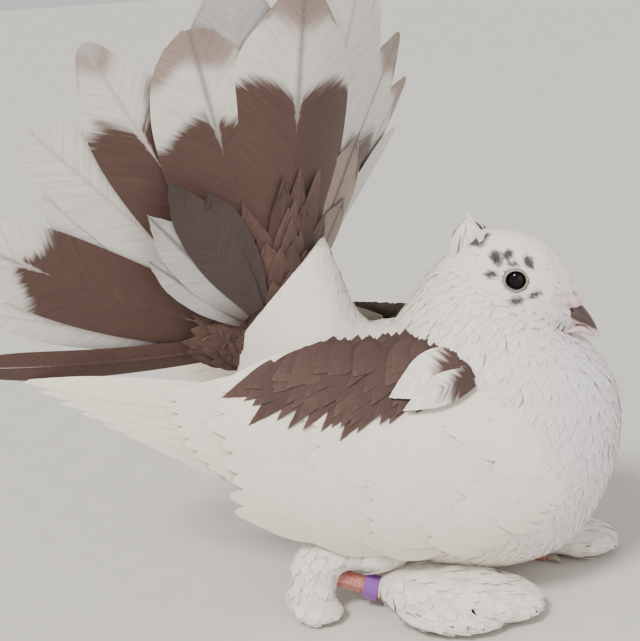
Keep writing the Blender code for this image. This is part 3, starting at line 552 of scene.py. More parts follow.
BILL_ROOT = np.array((52.0, 0.0, 109.0))
rng = np.random.default_rng(11)
at, turn = body_sample(90000, 0.0, END - 0.4, 12)
points = body(at, turn)
outward = unit(body_facing(np.clip(at, 0.03, END - 0.03), turn))
x, y, z = points.T
eye_gap = np.sqrt((x - EYE[0]) ** 2 + (np.abs(y) - 14.5) ** 2 + (z - EYE[2]) ** 2)
under_wing = (x > -60) & (x < 30) & (np.abs(y) > 30) & (z > 44) & (z < 92)
bill_gap = np.linalg.norm((points - np.array((47.5, 0, 108.0))) * (1, 1, 1.1), axis=-1)
cere_gap = np.hypot((x - 43.6) / 5.6, (z - 113.7 + 0.36 * (x - 43.6)) / 3.1)
clear = (eye_gap > 4.6) & ~under_wing & (bill_gap > 5.0) & (cere_gap > 1.0)
at, turn, points, outward, bill_gap = (a[clear] for a in (at, turn, points, outward, bill_gap))
eye_gap = eye_gap[clear]
gap = np.interp(at, [0, 2, 7, 9, 10.5, 11.5, 13, 16], [2.9, 2.9, 2.5, 2.1, 1.7, 1.4, 1.2, 1.0])
gap = np.minimum(gap, 0.7 + 0.11 * np.minimum(eye_gap, bill_gap))
kept = scatter(points, gap, rng)
at, turn, points, outward, gap = at[kept], turn[kept], points[kept], outward[kept], gap[kept]
back = -(body(np.minimum(at + 0.05, END), turn) - body(at - 0.05, turn))
away = unit(points - BILL_ROOT)
share = np.clip((at - 10.5) / 1.8, 0, 1)[:, None]
ways = unit(back) * (1 - share) + away * share
bake = np.stack([turn / (2 * math.pi), at / END], -1)
flat_way = unit(ways - outward * np.sum(ways * outward, -1, keepdims=True))
room = np.full(len(points), 0.1)
for size in (0.3, 0.45, 0.6, 0.8, 1.0):
    tip = points + flat_way * (gap * 3.8 * size)[:, None]
    free = np.hypot(tip[:, 0] - EYE[0], tip[:, 2] - EYE[2]) > 4.4
    room = np.where((free | (at < 11)) & (room >= size - 0.21), size, room)
some = room > 0.25
at, turn, points, outward, gap, ways, bake, room = (
    a[some] for a in (at, turn, points, outward, gap, ways, bake, room))
for name, chosen, long, half, lift, point in (
        ("coat_rear", at < 4.0, 4.4, 1.25, (-0.7, 0.45), 0.35),
        ("coat_breast", (at >= 4.0) & (at < 8.2), 5.6, 0.85, (-0.6, 0.22), 0.14),
        ("coat_neck", (at >= 8.2) & (at < 11.2), 5.4, 0.72, (-0.45, 0.32), 0.12),
        ("coat_head", at >= 11.2, 3.8, 1.0, (-0.3, 0.14), 0.2)):
    made = small_feathers(name, points[chosen], outward[chosen], ways[chosen],
                          gap[chosen] * long * room[chosen], gap[chosen] * half, form_tree,
                          body_tint, bake[chosen], np.random.default_rng(3),
                          rows=5 if name == "coat_head" else 6, lift=lift, point=point,
                          thick=0.14, camber=0.08, share=0.85,
                          stray=0.05 if name in ("coat_breast", "coat_head") else 0.10)


# Rump down: long soft white plumes that cover the cone of the rump up to the
# root of the tail. They overlap four deep, so no edge of one stands out.
rng = np.random.default_rng(19)
at, turn = body_sample(4000, 0.2, 4.6, 18)
upper = np.cos(turn) > -0.3
at, turn = at[upper], turn[upper]
points = body(at, turn)
kept = scatter(points, np.full(len(points), 3.2), rng)
at, turn, points = at[kept], turn[kept], points[kept]
outward = unit(body_facing(at, turn))
back = body(np.maximum(at - 0.08, 0), turn) - body(at + 0.08, turn)
made = small_feathers("rump_down", points, outward, back, rng.uniform(9, 15, len(points)),
                      rng.uniform(2.6, 3.8, len(points)), form_tree, body_tint,
                      np.stack([turn / (2 * math.pi), at / END], -1), rng, cols=5, rows=9,
                      lift=(-0.5, 0.6), point=0.12, thick=0.12, camber=0.4, share=0.88)


# Eyes: dark glossy balls set in the head, each in a ring of bare lid skin
# with fine folds, dull grey-olive like the real one's.
ink = mottled("dark_eye", 0.05, 700.0, (7, 5, 5), (16, 11, 9), Specular_IOR_Level=0.22)
lid_skin = mottled("bare_lid", 0.55, 1600.0, (112, 104, 92), (176, 168, 152), 3.0, 0.5)


def lathe(name, centre, axis, profile, count, material, stretch):
    """Closed ring of skin: radius and height pairs turned about an axis."""
    axis = unit(np.array(axis, float))
    one = unit(np.cross(axis, (0.0, 0.0, 1.0)))
    two = np.cross(axis, one)
    turn = np.arange(count) * 2 * math.pi / count
    points = []
    for radius, height in profile:
        ring = (np.cos(turn)[:, None] * one * stretch + np.sin(turn)[:, None] * two) * radius
        points.append(np.array(centre) + ring + axis * height)
    faces = grid_faces(len(profile) + 1, count, True) % (len(profile) * count)
    return to_mesh(name, np.concatenate(points), faces, material)


for side, tail in ((-1, "right"), (1, "left")):
    bpy.ops.mesh.primitive_uv_sphere_add(segments=40, ring_count=24, radius=0.00425,
                                         location=(0, 0, 0))
    globe = bpy.context.object
    globe.name = "eyeball_" + tail
    globe.data.transform(Matrix.Rotation(math.pi / 2, 4, "X"))
    centre = np.array((EYE[0], side * EYE[1], EYE[2])) * 0.001 + SHIFT
    globe.data.transform(Matrix.Translation(Vector(centre)))
    bpy.ops.object.shade_smooth()
    globe.data.materials.append(ink)
    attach(globe, "root")
    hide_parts("eye_" + tail)
    lids = lathe("lids_" + tail, (EYE[0], side * 14.0, EYE[2]), (0.06, side, 0.05),
                 [(4.8, -1.6), (4.6, -0.35), (4.4, 0.0), (4.2, 0.25), (3.95, 0.5), (3.7, 0.55),
                  (3.5, 0.3), (3.55, -0.6), (4.3, -1.6)], 56, lid_skin, 1.05)
    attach(lids, "root")


# Bill and cere: a short downturned bill of dark and pale horn, with a gape
# line and nostrils, and the soft pink cere over its root.
horn, face, tree = shader("bill_horn", 0.42)
place = node(tree, "TexCoord")
slant = node(tree, "VectorMath", [(0, place.outputs["Object"])], operation="DOT_PRODUCT")
slant.inputs[1].default_value = (0.62, 0, 1)
ridge_line = 0.1352 + SHIFT[2] + 0.62 * SHIFT[0]
rise = spread_range(tree, slant.outputs["Value"], ridge_line - 0.0015, ridge_line + 0.0015,
                    0.0, 1.0)
fleck = node(tree, "TexNoise", [("Vector", place.outputs["Object"])], Scale=420.0, Detail=3.0)
push = spread_range(tree, fleck.outputs["Fac"], 0.0, 1.0, -0.3, 0.3)
colour = ramp(tree, summed(tree, rise, push), (212, 188, 180), (74, 60, 56), 0.30, 0.62)
wire(tree, face, colour, fleck.outputs["Fac"], Strength=0.2, Distance=0.0002)
wax_skin = mottled("cere_skin", 0.62, 900.0, (206, 172, 170), (238, 216, 212), 4.0, 0.4,
                   Subsurface_Weight=0.15, Subsurface_Radius=(0.002, 0.001, 0.0008))
# Stations of each half of the bill: top x z, bottom x z and half width.
UPPER = np.array([(40.0, 115.5, 43.0, 103.9, 6.2), (43.6, 114.8, 45.8, 103.8, 5.9),
                  (47.4, 112.2, 48.8, 103.6, 4.8), (50.6, 108.6, 51.3, 102.6, 3.3),
                  (53.2, 104.4, 53.2, 100.9, 2.2), (54.8, 100.6, 54.5, 98.9, 1.2),
                  (55.1, 98.9, 54.9, 98.2, 0.4)])
LOWER = np.array([(42.0, 103.6, 42.0, 100.6, 5.4), (46.2, 103.5, 45.6, 100.6, 4.9),
                  (49.0, 103.4, 48.0, 100.5, 3.5), (51.0, 102.2, 50.2, 99.7, 2.5),
                  (52.8, 100.4, 52.3, 98.8, 1.3), (53.6, 99.1, 53.3, 98.4, 0.4)])


def shell(name, table, rows, count, material, power=1.0):
    """Closed smooth loft through stations of top, bottom and half width."""
    row = between(table, np.linspace(0, len(table) - 1, rows))[:, None]
    points = hoop(row, np.arange(count) * 2 * math.pi / count, power).reshape(-1, 3)
    faces = [*grid_faces(rows, count, True), range(count),
             range(len(points) - count, len(points))]
    return to_mesh(name, points, faces, material)


bill_top = shell("bill_top", UPPER, 40, 40, horn, 0.9)
bill_low = shell("bill_low", LOWER, 30, 32, horn)
for piece, gone in ((bill_top, "bill_upper"), (bill_low, "bill_lower")):
    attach(piece, "root")
    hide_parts(gone)


def blob(name, parts, material, voxel, relax):
    """Soft form of several ellipsoids melted into one by a voxel remesh."""
    for number, (centre, radii, tilt) in enumerate(parts):
        bpy.ops.mesh.primitive_uv_sphere_add(segments=24, ring_count=14, radius=1.0)
        made = bpy.context.object
        made.data.transform(Matrix.Diagonal((*[r * 0.001 for r in radii], 1)))
        made.data.transform(Matrix.Rotation(tilt, 4, "Y"))
        made.data.transform(Matrix.Translation(Vector(np.array(centre) * 0.001 + SHIFT)))
        if number:
            made.select_set(True)
            first.select_set(True)
            bpy.context.view_layer.objects.active = first
            bpy.ops.object.join()
        else:
            first = made
    first.name = name
    bpy.context.view_layer.objects.active = first
    melt = first.modifiers.new("melt", "REMESH")
    melt.mode = "VOXEL"
    melt.voxel_size = voxel * 0.001
    melt.use_smooth_shade = True
    bpy.ops.object.modifier_apply(modifier="melt")
    soft = first.modifiers.new("soft", "SMOOTH")
    soft.iterations = relax
    soft.factor = 0.5
    bpy.ops.object.modifier_apply(modifier="soft")
    first.data.materials.clear()
    first.data.materials.append(material)
    bpy.ops.object.shade_smooth()
    bpy.ops.object.select_all(action="DESELECT")
    return first


cere = blob("cere_folds", [((44.4, 3.2, 113.5), (4.3, 3.2, 2.5), 0.42),
                           ((44.4, -3.2, 113.5), (4.3, 3.2, 2.5), 0.42),
                           ((41.6, 6.0, 114.5), (3.6, 2.9, 2.0), 0.42),
                           ((41.6, -6.0, 114.5), (3.6, 2.9, 2.0), 0.42),
                           ((47.0, 1.5, 112.6), (2.2, 1.9, 1.9), 0.5),
                           ((47.0, -1.5, 112.6), (2.2, 1.9, 1.9), 0.5)], wax_skin, 0.22, 5)
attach(cere, "root")
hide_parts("cere")
for side, tail in ((-1, "right"), (1, "left")):
    slits = [((44.2, side * 5.7, 110.9), (2.1, 0.55, 0.32), 0.42),
             ((41.2, side * 7.4, 112.3), (1.6, 0.6, 0.26), 0.42)]
    nostril = blob("nostril_" + tail, slits, ink, 0.1, 2)
    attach(nostril, "root")


# Wings: folded, warm white and silky, their coverts in smooth tiers over the
# flight feathers, which close to a point behind.

# Stations from behind to the front: x, half width, half height, middle z.
WING = np.array([
    (-163.0, 41.0, 120.0, 90.0), (-128.0, 43.0, 95.0, 84.0), (-98.0, 45.0, 75.0, 76.0),
    (-70.0, 47.5, 60.0, 66.0), (-40.0, 50.5, 55.0, 60.0), (-12.0, 51.5, 53.5, 58.0),
    (8.0, 49.0, 52.5, 58.0), (26.0, 43.5, 52.0, 58.0), (36.0, 38.0, 52.0, 58.0),
    (43.0, 33.0, 52.0, 58.0)])
ruler = np.arange(-175.0, 56.0, 1.0)
plain = np.stack([np.interp(ruler, WING[:, 0], WING[:, k]) for k in range(4)], -1)
narrow = (WING[-1, 1] - WING[-2, 1]) / (WING[-1, 0] - WING[-2, 0])
ahead = ruler > WING[-1, 0]
plain[ahead, 1] = WING[-1, 1] + narrow * (ruler[ahead] - WING[-1, 0])
bell = np.exp(-0.5 * (np.arange(-12, 13) / 5.0) ** 2)
bell /= bell.sum()
WING_SMOOTH = np.stack([np.convolve(np.pad(plain[:, k], 12, "edge"), bell, "valid")
                        for k in range(4)], -1)


def wing_point(side, x, z, depth):
    """Points of the folded wing's face, moved inward by a depth."""
    wide, tall, centre = (np.interp(x, ruler, WING_SMOOTH[:, k]) for k in (1, 2, 3))
    rise = np.clip((z - centre) / tall, -0.97, 0.97)
    out = np.sqrt(1 - rise ** 2)
    return joined(x, side * (wide - depth) * out, centre + (tall - depth) * rise)


def outline(v, base, full_at, tip):
    """Half width along a feather, from its base to a rounded tip."""
    grow = base + (1 - base) * np.sin(np.clip(v / full_at, 0, 1) * math.pi / 2)
    close = np.sqrt(np.clip(1 - (np.clip(v - full_at, 0, 1) / (1 - full_at)) ** 2.2
                            * (1 - tip ** 2), 0, 1))
    return grow * close


def own_cells(u, along):
    """Places in the map OFBake: a cell for each feather, its vane laid across."""
    number = np.arange(len(along))
    cells = max(1, math.ceil(math.sqrt(len(along))))
    corner = np.stack([number % cells, number // cells], -1)[:, None, None] / cells
    return corner + joined(0.5 + 0.46 * u, 0.03 + 0.94 * along) / cells


def wing_feathers(name, side, table, cols, rows, material, colour, rng, thick, shaft, base,
                  full_at, tip, mark=None, lean=0.85, blunt=0.10, camber=0.3):
    """Feathers on the wing: root x z, tip x z, half width, depths, bow."""
    table = np.array(table)
    count = len(table)
    v = 1 - (1 - np.linspace(0, 1, rows)) ** 1.25
    line = np.linspace(-1, 1, cols)
    u = np.sign(line) * np.abs(line) ** 1.15
    a, b = table[:, 0:2], table[:, 2:4]
    way = unit(b - a)
    across = np.stack([-way[:, 1], way[:, 0]], -1)
    across *= np.where(across[:, 1:2] < 0, -1, 1)
    half, root_level, tip_level, bow = (table[:, k, None, None] for k in (4, 5, 6, 7))
    wide = outline(v, base, full_at, tip)[None, :, None] * u * half
    along = np.broadcast_to(v[:, None] * (1 - blunt * np.abs(u[None]) ** 2.4), wide.shape)
    reach = along * np.linalg.norm(b - a, axis=-1)[:, None, None]
    spot = (a[:, None, None] + way[:, None, None] * reach[..., None]
            + across[:, None, None] * (wide + bow * np.sin(along * math.pi))[..., None])
    level = root_level + (tip_level - root_level) * np.clip(along / 0.5, 0, 1)
    level = level + camber * np.abs(u) ** 2 * (half / 8.0)
    level = level - shaft * np.exp(-(u / 0.10) ** 2) * (1 - 0.6 * v[None, :, None])
    tops = wing_point(side, spot[..., 0], spot[..., 1], level)
    inner = wing_point(side, spot[..., 0], spot[..., 1], level + 1.0)
    under = unit(tops - inner) * thick
    if side > 0:
        tops, under = tops[:, :, ::-1], under[:, :, ::-1]
    seed = rng.random(count)[:, None, None] * 30
    shade = 1 + rng.normal(0, 0.015, count)[:, None, None]
    tints = colour(spot, v, u, table) * shade[..., None]
    extra = []
    if mark is not None:
        paint, edge = mark(spot, v, u, table)
        extra = [("mark", np.broadcast_to(paint, tops.shape)), ("edge", edge)]
    maps = [("feather", joined(wide / 100, reach / 100 + seed)), ("OFBake", own_cells(u, along))]
    return vane_piece(name, tops, under, material, np.broadcast_to(tints, tops.shape), maps,
                      extra, unit(under), lean)


silk = streaks("wing_silk", 0.55, 0.3, 1.0, bump=0.10)


def wing_white(spot, v, u, table):
    """Warm white, a little yellower to the rear, a little darker towards each feather's root."""
    back = np.clip((-spot[..., 0:1] - 20) / 120.0, 0, 1)
    tint = WARM * (0.35 + 0.4 * back) + CREAM * (0.65 - 0.4 * back)
    return tint * (0.93 + 0.08 * v[None, :, None, None])


# Tiers of coverts: front edge x, lowest and highest z, count, length, half
# width and depth.
TIERS = ((46.0, 46.0, 82.0, 15, 12.0, 3.2, 0.7), (40.0, 42.0, 86.0, 12, 15.0, 4.6, 0.3),
         (33.0, 38.0, 92.0, 11, 17.0, 6.0, 0.1), (24.0, 33.0, 96.0, 10, 20.0, 7.4, -0.05),
         (13.0, 30.0, 98.0, 10, 24.0, 8.2, -0.15), (1.0, 29.0, 99.0, 9, 30.0, 9.4, -0.3),
         (-14.0, 31.0, 99.0, 8, 38.0, 10.4, -0.45), (-32.0, 37.0, 98.0, 8, 47.0, 10.4, -0.6))
for side, tail in ((-1, "right"), (1, "left")):
    rng = np.random.default_rng(40 + side)
    rows = []
    for x, lo, hi, count, reach, half, level in TIERS:
        for k in range(count):
            z = lo + (hi - lo) * (k + 0.5) / count
            lean = (z - 64.0) / 40.0
            back = reach * (1 + 0.03 * rng.normal())
            slide = rng.uniform(-4.5, 4.5) * min(1.0, (50 - x) / 25.0)
            rows.append((x + slide, z, x + slide - back, z + 2.5 * (x < -15) - 3.5 * lean,
                         half, level + 2.0, level - 0.08 * (k % 3), 0.0))
    made = wing_feathers("coverts_" + tail, side, rows, 11, 16, silk, wing_white, rng,
                         thick=0.12, shaft=0.02, base=0.6, full_at=0.35, tip=0.4, lean=0.95,
                         blunt=0.18, camber=0.08)
    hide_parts("wing_" + tail)
    rows = []
    for k in range(9):
        f = k / 8.0
        rows.append((-26.0, 44.0 + 44.0 * f, -70.0 - 31.0 * math.sin(math.pi * 0.5 * f ** 0.7),
                     53.0 + 38.0 * f, 9.0, 5.2, 3.2 - 0.3 * k, 0.0))
    made = wing_feathers("secondaries_fine_" + tail, side, rows, 13, 26, silk, wing_white, rng,
                         thick=0.3, shaft=0.10, base=0.7, full_at=0.5, tip=0.4, lean=0.9,
                         blunt=0.16, camber=0.15)
    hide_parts("secondaries_" + tail)
    rows = []
    for k in range(9):
        f = k / 8.0
        rows.append((-38.0, 49.0 + 38.0 * f, -92.0 - 69.0 * f ** 0.9, 58.5 + 36.0 * f,
                     8.0 - 2.4 * f, 8.8, 7.6 - 0.45 * k, 0.0))
    made = wing_feathers("primaries_fine_" + tail, side, rows, 13, 34, silk, wing_white, rng,
                         thick=0.4, shaft=0.25, base=0.7, full_at=0.55, tip=0.25)
    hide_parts("primaries_" + tail)


# Scapulars: large soft chocolate feathers in a lobed patch over the back of
# each wing, paler at their rims, with one half-white feather at the front.
chocolate = streaks("chocolate_barbs", 0.7, 0.25, 1.0, True, 0.16)
TIPS = np.array([(-76.0, 92.0), (-70.0, 84.0), (-56.0, 79.0), (-40.0, 77.0), (-24.0, 79.0),
                 (-9.0, 84.0), (0.0, 92.0)])


def brown_patch(spot, v, u, table):
    """Brown of the scapulars, darker at the base and paler at the rim."""
    rim = np.clip((v - 0.86) / 0.14, 0, 1)[None, :, None, None] * 0.12
    own = 1 + 0.16 * np.sin(table[:, 0] * 7.1 + table[:, 3] * 3.3)[:, None, None, None]
    tint = BROWN * (0.70 + 0.25 * v)[None, :, None, None] * own
    return tint * (1 - rim) + TAUPE * rim


def white_mark(spot, v, u, table):
    """White wherever the feather is one of the pale ones at the front."""
    pale = (table[:, 7] > 0.5)[:, None, None]
    edge = np.where(pale, 3.5 * (v[None, :, None] - 0.34) + 0.5 * u[None, None], -3.0)
    return CREAM * 0.95, edge


for side, tail in ((-1, "right"), (1, "left")):
    rng = np.random.default_rng(60 + side)
    rows = []
    for layer, (pull, count) in enumerate(((1.0, 17), (0.84, 16), (0.66, 14), (0.48, 12),
                                           (0.30, 11))):
        for k in range(count):
            f = np.clip((k + 0.5 + 0.25 * rng.normal()) / count, 0, 1)
            index = f * (len(TIPS) - 1.001)
            tip = TIPS[int(index)] + (TIPS[int(index) + 1] - TIPS[int(index)]) * (index % 1)
            root = np.array((tip[0] + 27.0 - 15.0 * f, 0.0))
            root[1] = np.interp(root[0], (-56, -44, 0, 14), (98, 102.5, 102.5, 97))
            lobe = 1 + 0.07 * math.sin(6.3 * index) + 0.06 * rng.normal()
            tip = root + (tip - root) * pull * lobe
            start = root + (tip - root) * -0.15
            lift = 0.35 * layer + 0.12 * (k % 3)
            rows.append((start[0], start[1], tip[0], tip[1], 4.6 + 0.5 * rng.normal(), 0.6 - lift,
                         -1.0 - lift, 0.0))
    for x, z, half in ((6.0, 97.5, 6.4), (11.0, 93.5, 5.0)):
        rows.append((x, z, x - 24.0, z - 9.0, half, -3.0, -3.9 + 0.1 * half, 1.0))
    made = wing_feathers("scapulars_fine_" + tail, side, rows, 9, 16, chocolate, brown_patch, rng,
                         thick=0.22, shaft=0.10, base=0.6, full_at=0.45, tip=0.16,
                         mark=white_mark, lean=0.75, blunt=0.2, camber=0.35)
    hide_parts("scapulars_" + tail)


# Tail fan: broad flight feathers raised in a dish, each banded white and
# chocolate in its own way, with dusky quills and a few frayed tips.
FAN_BASE = np.array((-68.0, 0.0, 96.0))
YAW, LEAN = math.radians(48), math.radians(8)
SWEEP_NEAR, SWEEP_FAR = math.radians(14), math.radians(62)
FLAT = np.array((math.cos(YAW), -math.sin(YAW), 0.0))
NEAR = np.array((-math.sin(YAW), -math.cos(YAW), 0.0))
UP = np.array((0.0, 0.0, 1.0))
RISE = UP * math.cos(LEAN) + FLAT * math.sin(LEAN)
FRONT = FLAT * math.cos(LEAN) - UP * math.sin(LEAN)


def fan_point(radius, angle, depth):
    """Points of the fan's dish; the angle is in degrees from its middle."""
    turn = np.radians(angle)
    share = np.minimum(np.abs(angle) / 90.0, 1.2)
    sweep = np.where(angle > 0, SWEEP_NEAR * share, SWEEP_FAR * share ** 2)
    flat = RISE * np.cos(turn)[..., None] + NEAR * np.sin(turn)[..., None]
    along = flat * np.cos(sweep)[..., None] - FRONT * np.sin(sweep)[..., None]
    return FAN_BASE + along * np.asarray(radius)[..., None] + FRONT * np.asarray(depth)[..., None]


def fan_feathers(name, table, cols, rows, material, shaft=0.5, thick=0.5):
    """Feathers of the fan from a list of settings, with their bands."""
    v = 1 - (1 - np.linspace(0, 1, rows)) ** 1.2
    line = np.linspace(-1, 1, cols)
    u = np.sign(line) * np.abs(line) ** 1.3
    grids = []
    for one in table:
        start, reach, half = one.get("start", 8.0), one["reach"], one["half"]
        wide = outline(v, one.get("base", 0.16), one.get("full", 0.66), one["tip"])
        wave = one["seed"] * 1.7
        fray = one.get("fray", 0.0)
        teeth = (np.sin(u * 9 + wave) * 0.4 + np.sin(u * 23 + 2 * wave) * 0.35
                 + np.sin(u * 51 + 3 * wave) * 0.25)
        end = 1 - one.get("round", 0.10) * np.abs(u) ** 2.2 - fray * (0.5 + 0.5 * teeth)
        along = v[:, None] * (1 - (1 - end[None]) * v[:, None] ** 3)
        radius = start + (reach - start) * along
        jag = 1 + fray * 0.25 * np.sin(v * 37 + wave)[:, None] * (v[:, None] > 0.5)
        across = wide[:, None] * u[None] * half * jag
        bow = one.get("bow", 0.0) * np.sin(along * math.pi)
        angle = one["angle"] + np.degrees((across + bow) / np.maximum(radius, 10.0))
        bend = -5.0 * (radius / 140.0) ** 2
        depth = (one["depth"] + bend - one.get("cup", 1.2) * (across / 20.0) ** 2
                 + one.get("curl", 0.0) * (across / 20.0) * along
                 + 0.35 * np.sin(along * 11 + wave + 2.2 * u[None]) * along)
        depth = depth + shaft * np.exp(-(u[None] / 0.055) ** 2) * (1 - 0.7 * v[:, None])
        top = fan_point(radius, angle, depth)
        out = fan_point(radius, angle, depth + 1.0) - top
        band = np.array([s for s, _ in one["bands"]])
        paint = np.array([c for _, c in one["bands"]])
        share = (radius - start) / (reach - start) + 0.02 * np.sin(u[None] * 5 + wave)
        tint = np.stack([np.interp(share, band, paint[:, k]) for k in range(3)], -1)
        quill = np.exp(-(u[None] / 0.045) ** 2)[..., None] * np.ones_like(share)[..., None]
        horn_end = np.clip((one.get("shaft_pale", -1.0) - share) / 0.08, 0, 1)[..., None]
        pale = one.get("quill", rgb(196, 178, 160)) * (1 - horn_end)
        pale = pale + rgb(214, 196, 176) * horn_end
        tint = tint * (1 - 0.75 * quill) + pale * 0.75 * quill
        lo, hi, slant, soft = one.get("mark", (2.0, 3.0, 0.0, 0.06))
        line_at = share - slant * np.abs(u[None])
        edge = np.minimum((line_at - lo) / soft, (hi - line_at) / soft) - 2.0 * quill[..., 0]
        grids.append((top, out * thick, tint, np.clip(edge, -3, 3),
                      np.broadcast_to(BROWN, tint.shape),
                      np.stack([across / 100, radius / 100 + wave * 3], -1), along))
    tops, under, tints, edges, marks, plans, alongs = (np.array(a) for a in zip(*grids))
    return vane_piece(name, tops, under, material, tints,
                      [("feather", plans), ("OFBake", own_cells(u, alongs))],
                      [("mark", marks), ("edge", edges)])


banded = streaks("banded_vane", 0.6, 0.2, 0.8, True, 0.18)
SNOW, GREY, DUSK = rgb(226, 220, 212), rgb(186, 180, 176), rgb(128, 112, 104)
CHOC = rgb(88, 64, 56)
# Bands of colour: share of the length and colour there. A mark is a brown field
# from one share to another, with its slant to the edges and its softness.
WHOLE = [(0.0, SNOW * 0.85), (1.0, SNOW)]
RIMMED = [(0.0, DUSK), (0.66, GREY), (0.72, SNOW), (0.86, SNOW), (0.90, TAUPE * 1.25),
          (0.97, TAUPE * 1.1), (1.0, TAUPE)]
HALF_RIMMED = [(0, DUSK), (0.7, GREY), (0.76, SNOW), (0.90, SNOW), (0.95, TAUPE * 1.4), (1, GREY)]
GREY_ROOT = [(0, GREY * 0.8), (0.6, GREY), (0.80, SNOW), (1, SNOW)]
centre = [
    dict(angle=-6.5, reach=140, half=28, depth=0.0, bands=RIMMED, mark=(-1, 0.70, 0.03, 0.045),
         tip=0.5, seed=1, quill=DUSK, shaft_pale=0.42),
    dict(angle=13.5, reach=128, half=23, depth=-1.4, bands=RIMMED, mark=(-1, 0.72, 0.0, 0.05),
         tip=0.62, round=0.07, fray=0.015, seed=2, quill=DUSK, shaft_pale=0.45),
    dict(angle=-18, reach=146, half=24, depth=-2.8, bands=WHOLE, tip=0.4, seed=3),
    dict(angle=5, reach=146, half=22, depth=-4.2, bands=[(0, DUSK), (0.75, GREY), (1, GREY)],
         tip=0.5, seed=4)]
made = fan_feathers("tail_centre_fine", centre, 27, 54, banded)
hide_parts("tail_centre")
near = [
    dict(angle=28.5, reach=137, half=18.5, depth=-5.0, bands=HALF_RIMMED,
         mark=(-1, 0.74, 0.06, 0.06), tip=0.5, seed=5),
    dict(angle=64, reach=132, half=17, depth=-6.6, bands=GREY_ROOT,
         mark=(0.12, 0.76, -0.05, 0.05), tip=0.4, base=0.4, bow=3.0, seed=6, quill=TAUPE),
    dict(angle=43, reach=126, half=14, depth=-8.0, bands=WHOLE, fray=0.06, tip=0.8, seed=7,
         round=0.02),
    dict(angle=51, reach=110, half=13, depth=-9.4, bands=WHOLE, fray=0.05, tip=0.5, seed=8),
    dict(angle=77, reach=116, half=9, depth=-9.0, bands=WHOLE, tip=0.3, bow=3.0, seed=9),
    dict(angle=88.5, reach=125, half=6.6, depth=-5.2, bands=[(0, DUSK), (0.25, TAUPE), (1, TAUPE)],
         mark=(-1, 0.97, 0.55, 0.16), tip=0.5, base=0.7, cup=5.0, bow=3.0, seed=10, quill=GREY)]
made = fan_feathers("tail_near_fine", near, 25, 50, banded)
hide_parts("tail_right")
far = []
for number, (angle, reach, half, depth) in enumerate((
        (-24, 142, 20, -5.6), (-35, 137, 19, -7.0), (-47, 134, 19, -8.4), (-59, 132, 19, -5.6),
        (-71, 130, 18, -7.0), (-83, 126, 16, -8.4))):
    banding = dict(bands=RIMMED, mark=(-1, 0.68 - 0.04 * (number % 3), 0.06, 0.06), quill=DUSK,
                   shaft_pale=0.45)
    far.append(dict(angle=angle, reach=reach, half=half, depth=depth, tip=0.42, seed=11 + number,
                    **(banding if number in (1, 2, 4) else dict(bands=WHOLE))))
made = fan_feathers("tail_far_fine", far, 21, 40, banded)
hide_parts("tail_left")


# Tail coverts: dark chocolate feathers crowd over the roots of the fan in
# front, one is folded out with a grey-white web, and pale ones lie behind.
UMBER = rgb(70, 56, 52)
rng = np.random.default_rng(77)
front = []
# Reach of the longest dark ones at each angle of the fan.
EDGE = np.array([(-40, 38), (-30, 46), (-22, 56), (-17, 66), (-6, 67), (5, 68), (10, 60),
                 (18, 53), (30, 48), (51, 41), (69, 37), (88, 33), (100, 29)], float)
for pull, depth, count in ((1.0, 1.6, 17), (0.86, 2.4, 16), (0.72, 3.2, 14), (0.58, 4.0, 12),
                           (0.44, 4.8, 10)):
    for k in range(count):
        f = (k + 0.5 + 0.35 * rng.normal()) / count
        angle = -36 + 134 * f
        long = np.interp(angle, EDGE[:, 0], EDGE[:, 1]) * pull * (1 + 0.07 * rng.normal()) + 2.0
        shade = 0.75 + 0.4 * rng.random()
        front.append(dict(angle=angle, reach=long, half=6.5 * (1 + 0.15 * rng.normal()),
                          depth=depth + 0.5 * rng.random(), start=6, base=0.5, tip=0.22, full=0.5,
                          bands=[(0, UMBER * shade), (0.8, CHOC * shade), (1, CHOC * 1.15 * shade)],
                          cup=2.0, curl=0.8 * rng.normal(), fray=0.02, seed=30 + len(front),
                          quill=CHOC * 1.2))
for angle, reach, half, depth, colour, curl, fray in (
        (31, 86, 9.0, 6.2, UMBER, 3.0, 0.05), (40, 80, 9.0, 5.6, GREY, 3.5, 0.03),
        (50, 68, 6.5, 5.0, GREY, 3.0, 0.04), (23, 74, 8.0, 5.0, UMBER, 1.0, 0.03),
        (-31, 92, 10.0, -1.0, TAUPE * 1.2, -2.0, 0.02),
        (-38, 84, 9.0, -2.0, TAUPE * 1.3, -2.0, 0.02), (-36, 66, 9.0, 0.6, TAUPE, -1.0, 0.02)):
    front.append(dict(angle=angle, reach=reach, half=half, depth=depth, start=22, base=0.3,
                      tip=0.12, full=0.5, fray=fray, cup=3.0, curl=curl, seed=90 + int(reach),
                      quill=UMBER,
                      bands=[(0, UMBER), (0.35, colour), (0.8, colour), (1, colour * 0.7)]))
made = fan_feathers("tail_coverts_front", front, 9, 14, chocolate, 0.25, 0.35)
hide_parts("tail_coverts_upper")
behind = []
for reach, half, depth, count in ((62, 11.0, -12.0, 15), (48, 10.0, -13.4, 13),
                                  (34, 9.0, -14.8, 11)):
    for k in range(count):
        f = (k + 0.5) / count
        behind.append(dict(angle=-84 + 170 * f, reach=reach * (1 + 0.06 * rng.normal()), half=half,
                           depth=depth - 0.5 * (k % 2), start=8, base=0.4, tip=0.35,
                           bands=[(0, GREY), (1, SNOW)], cup=-2.0, seed=120 + len(behind),
                           quill=SNOW))
made = fan_feathers("tail_coverts_back", behind, 9, 14, banded, 0.2, 0.35)
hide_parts("tail_coverts_under")


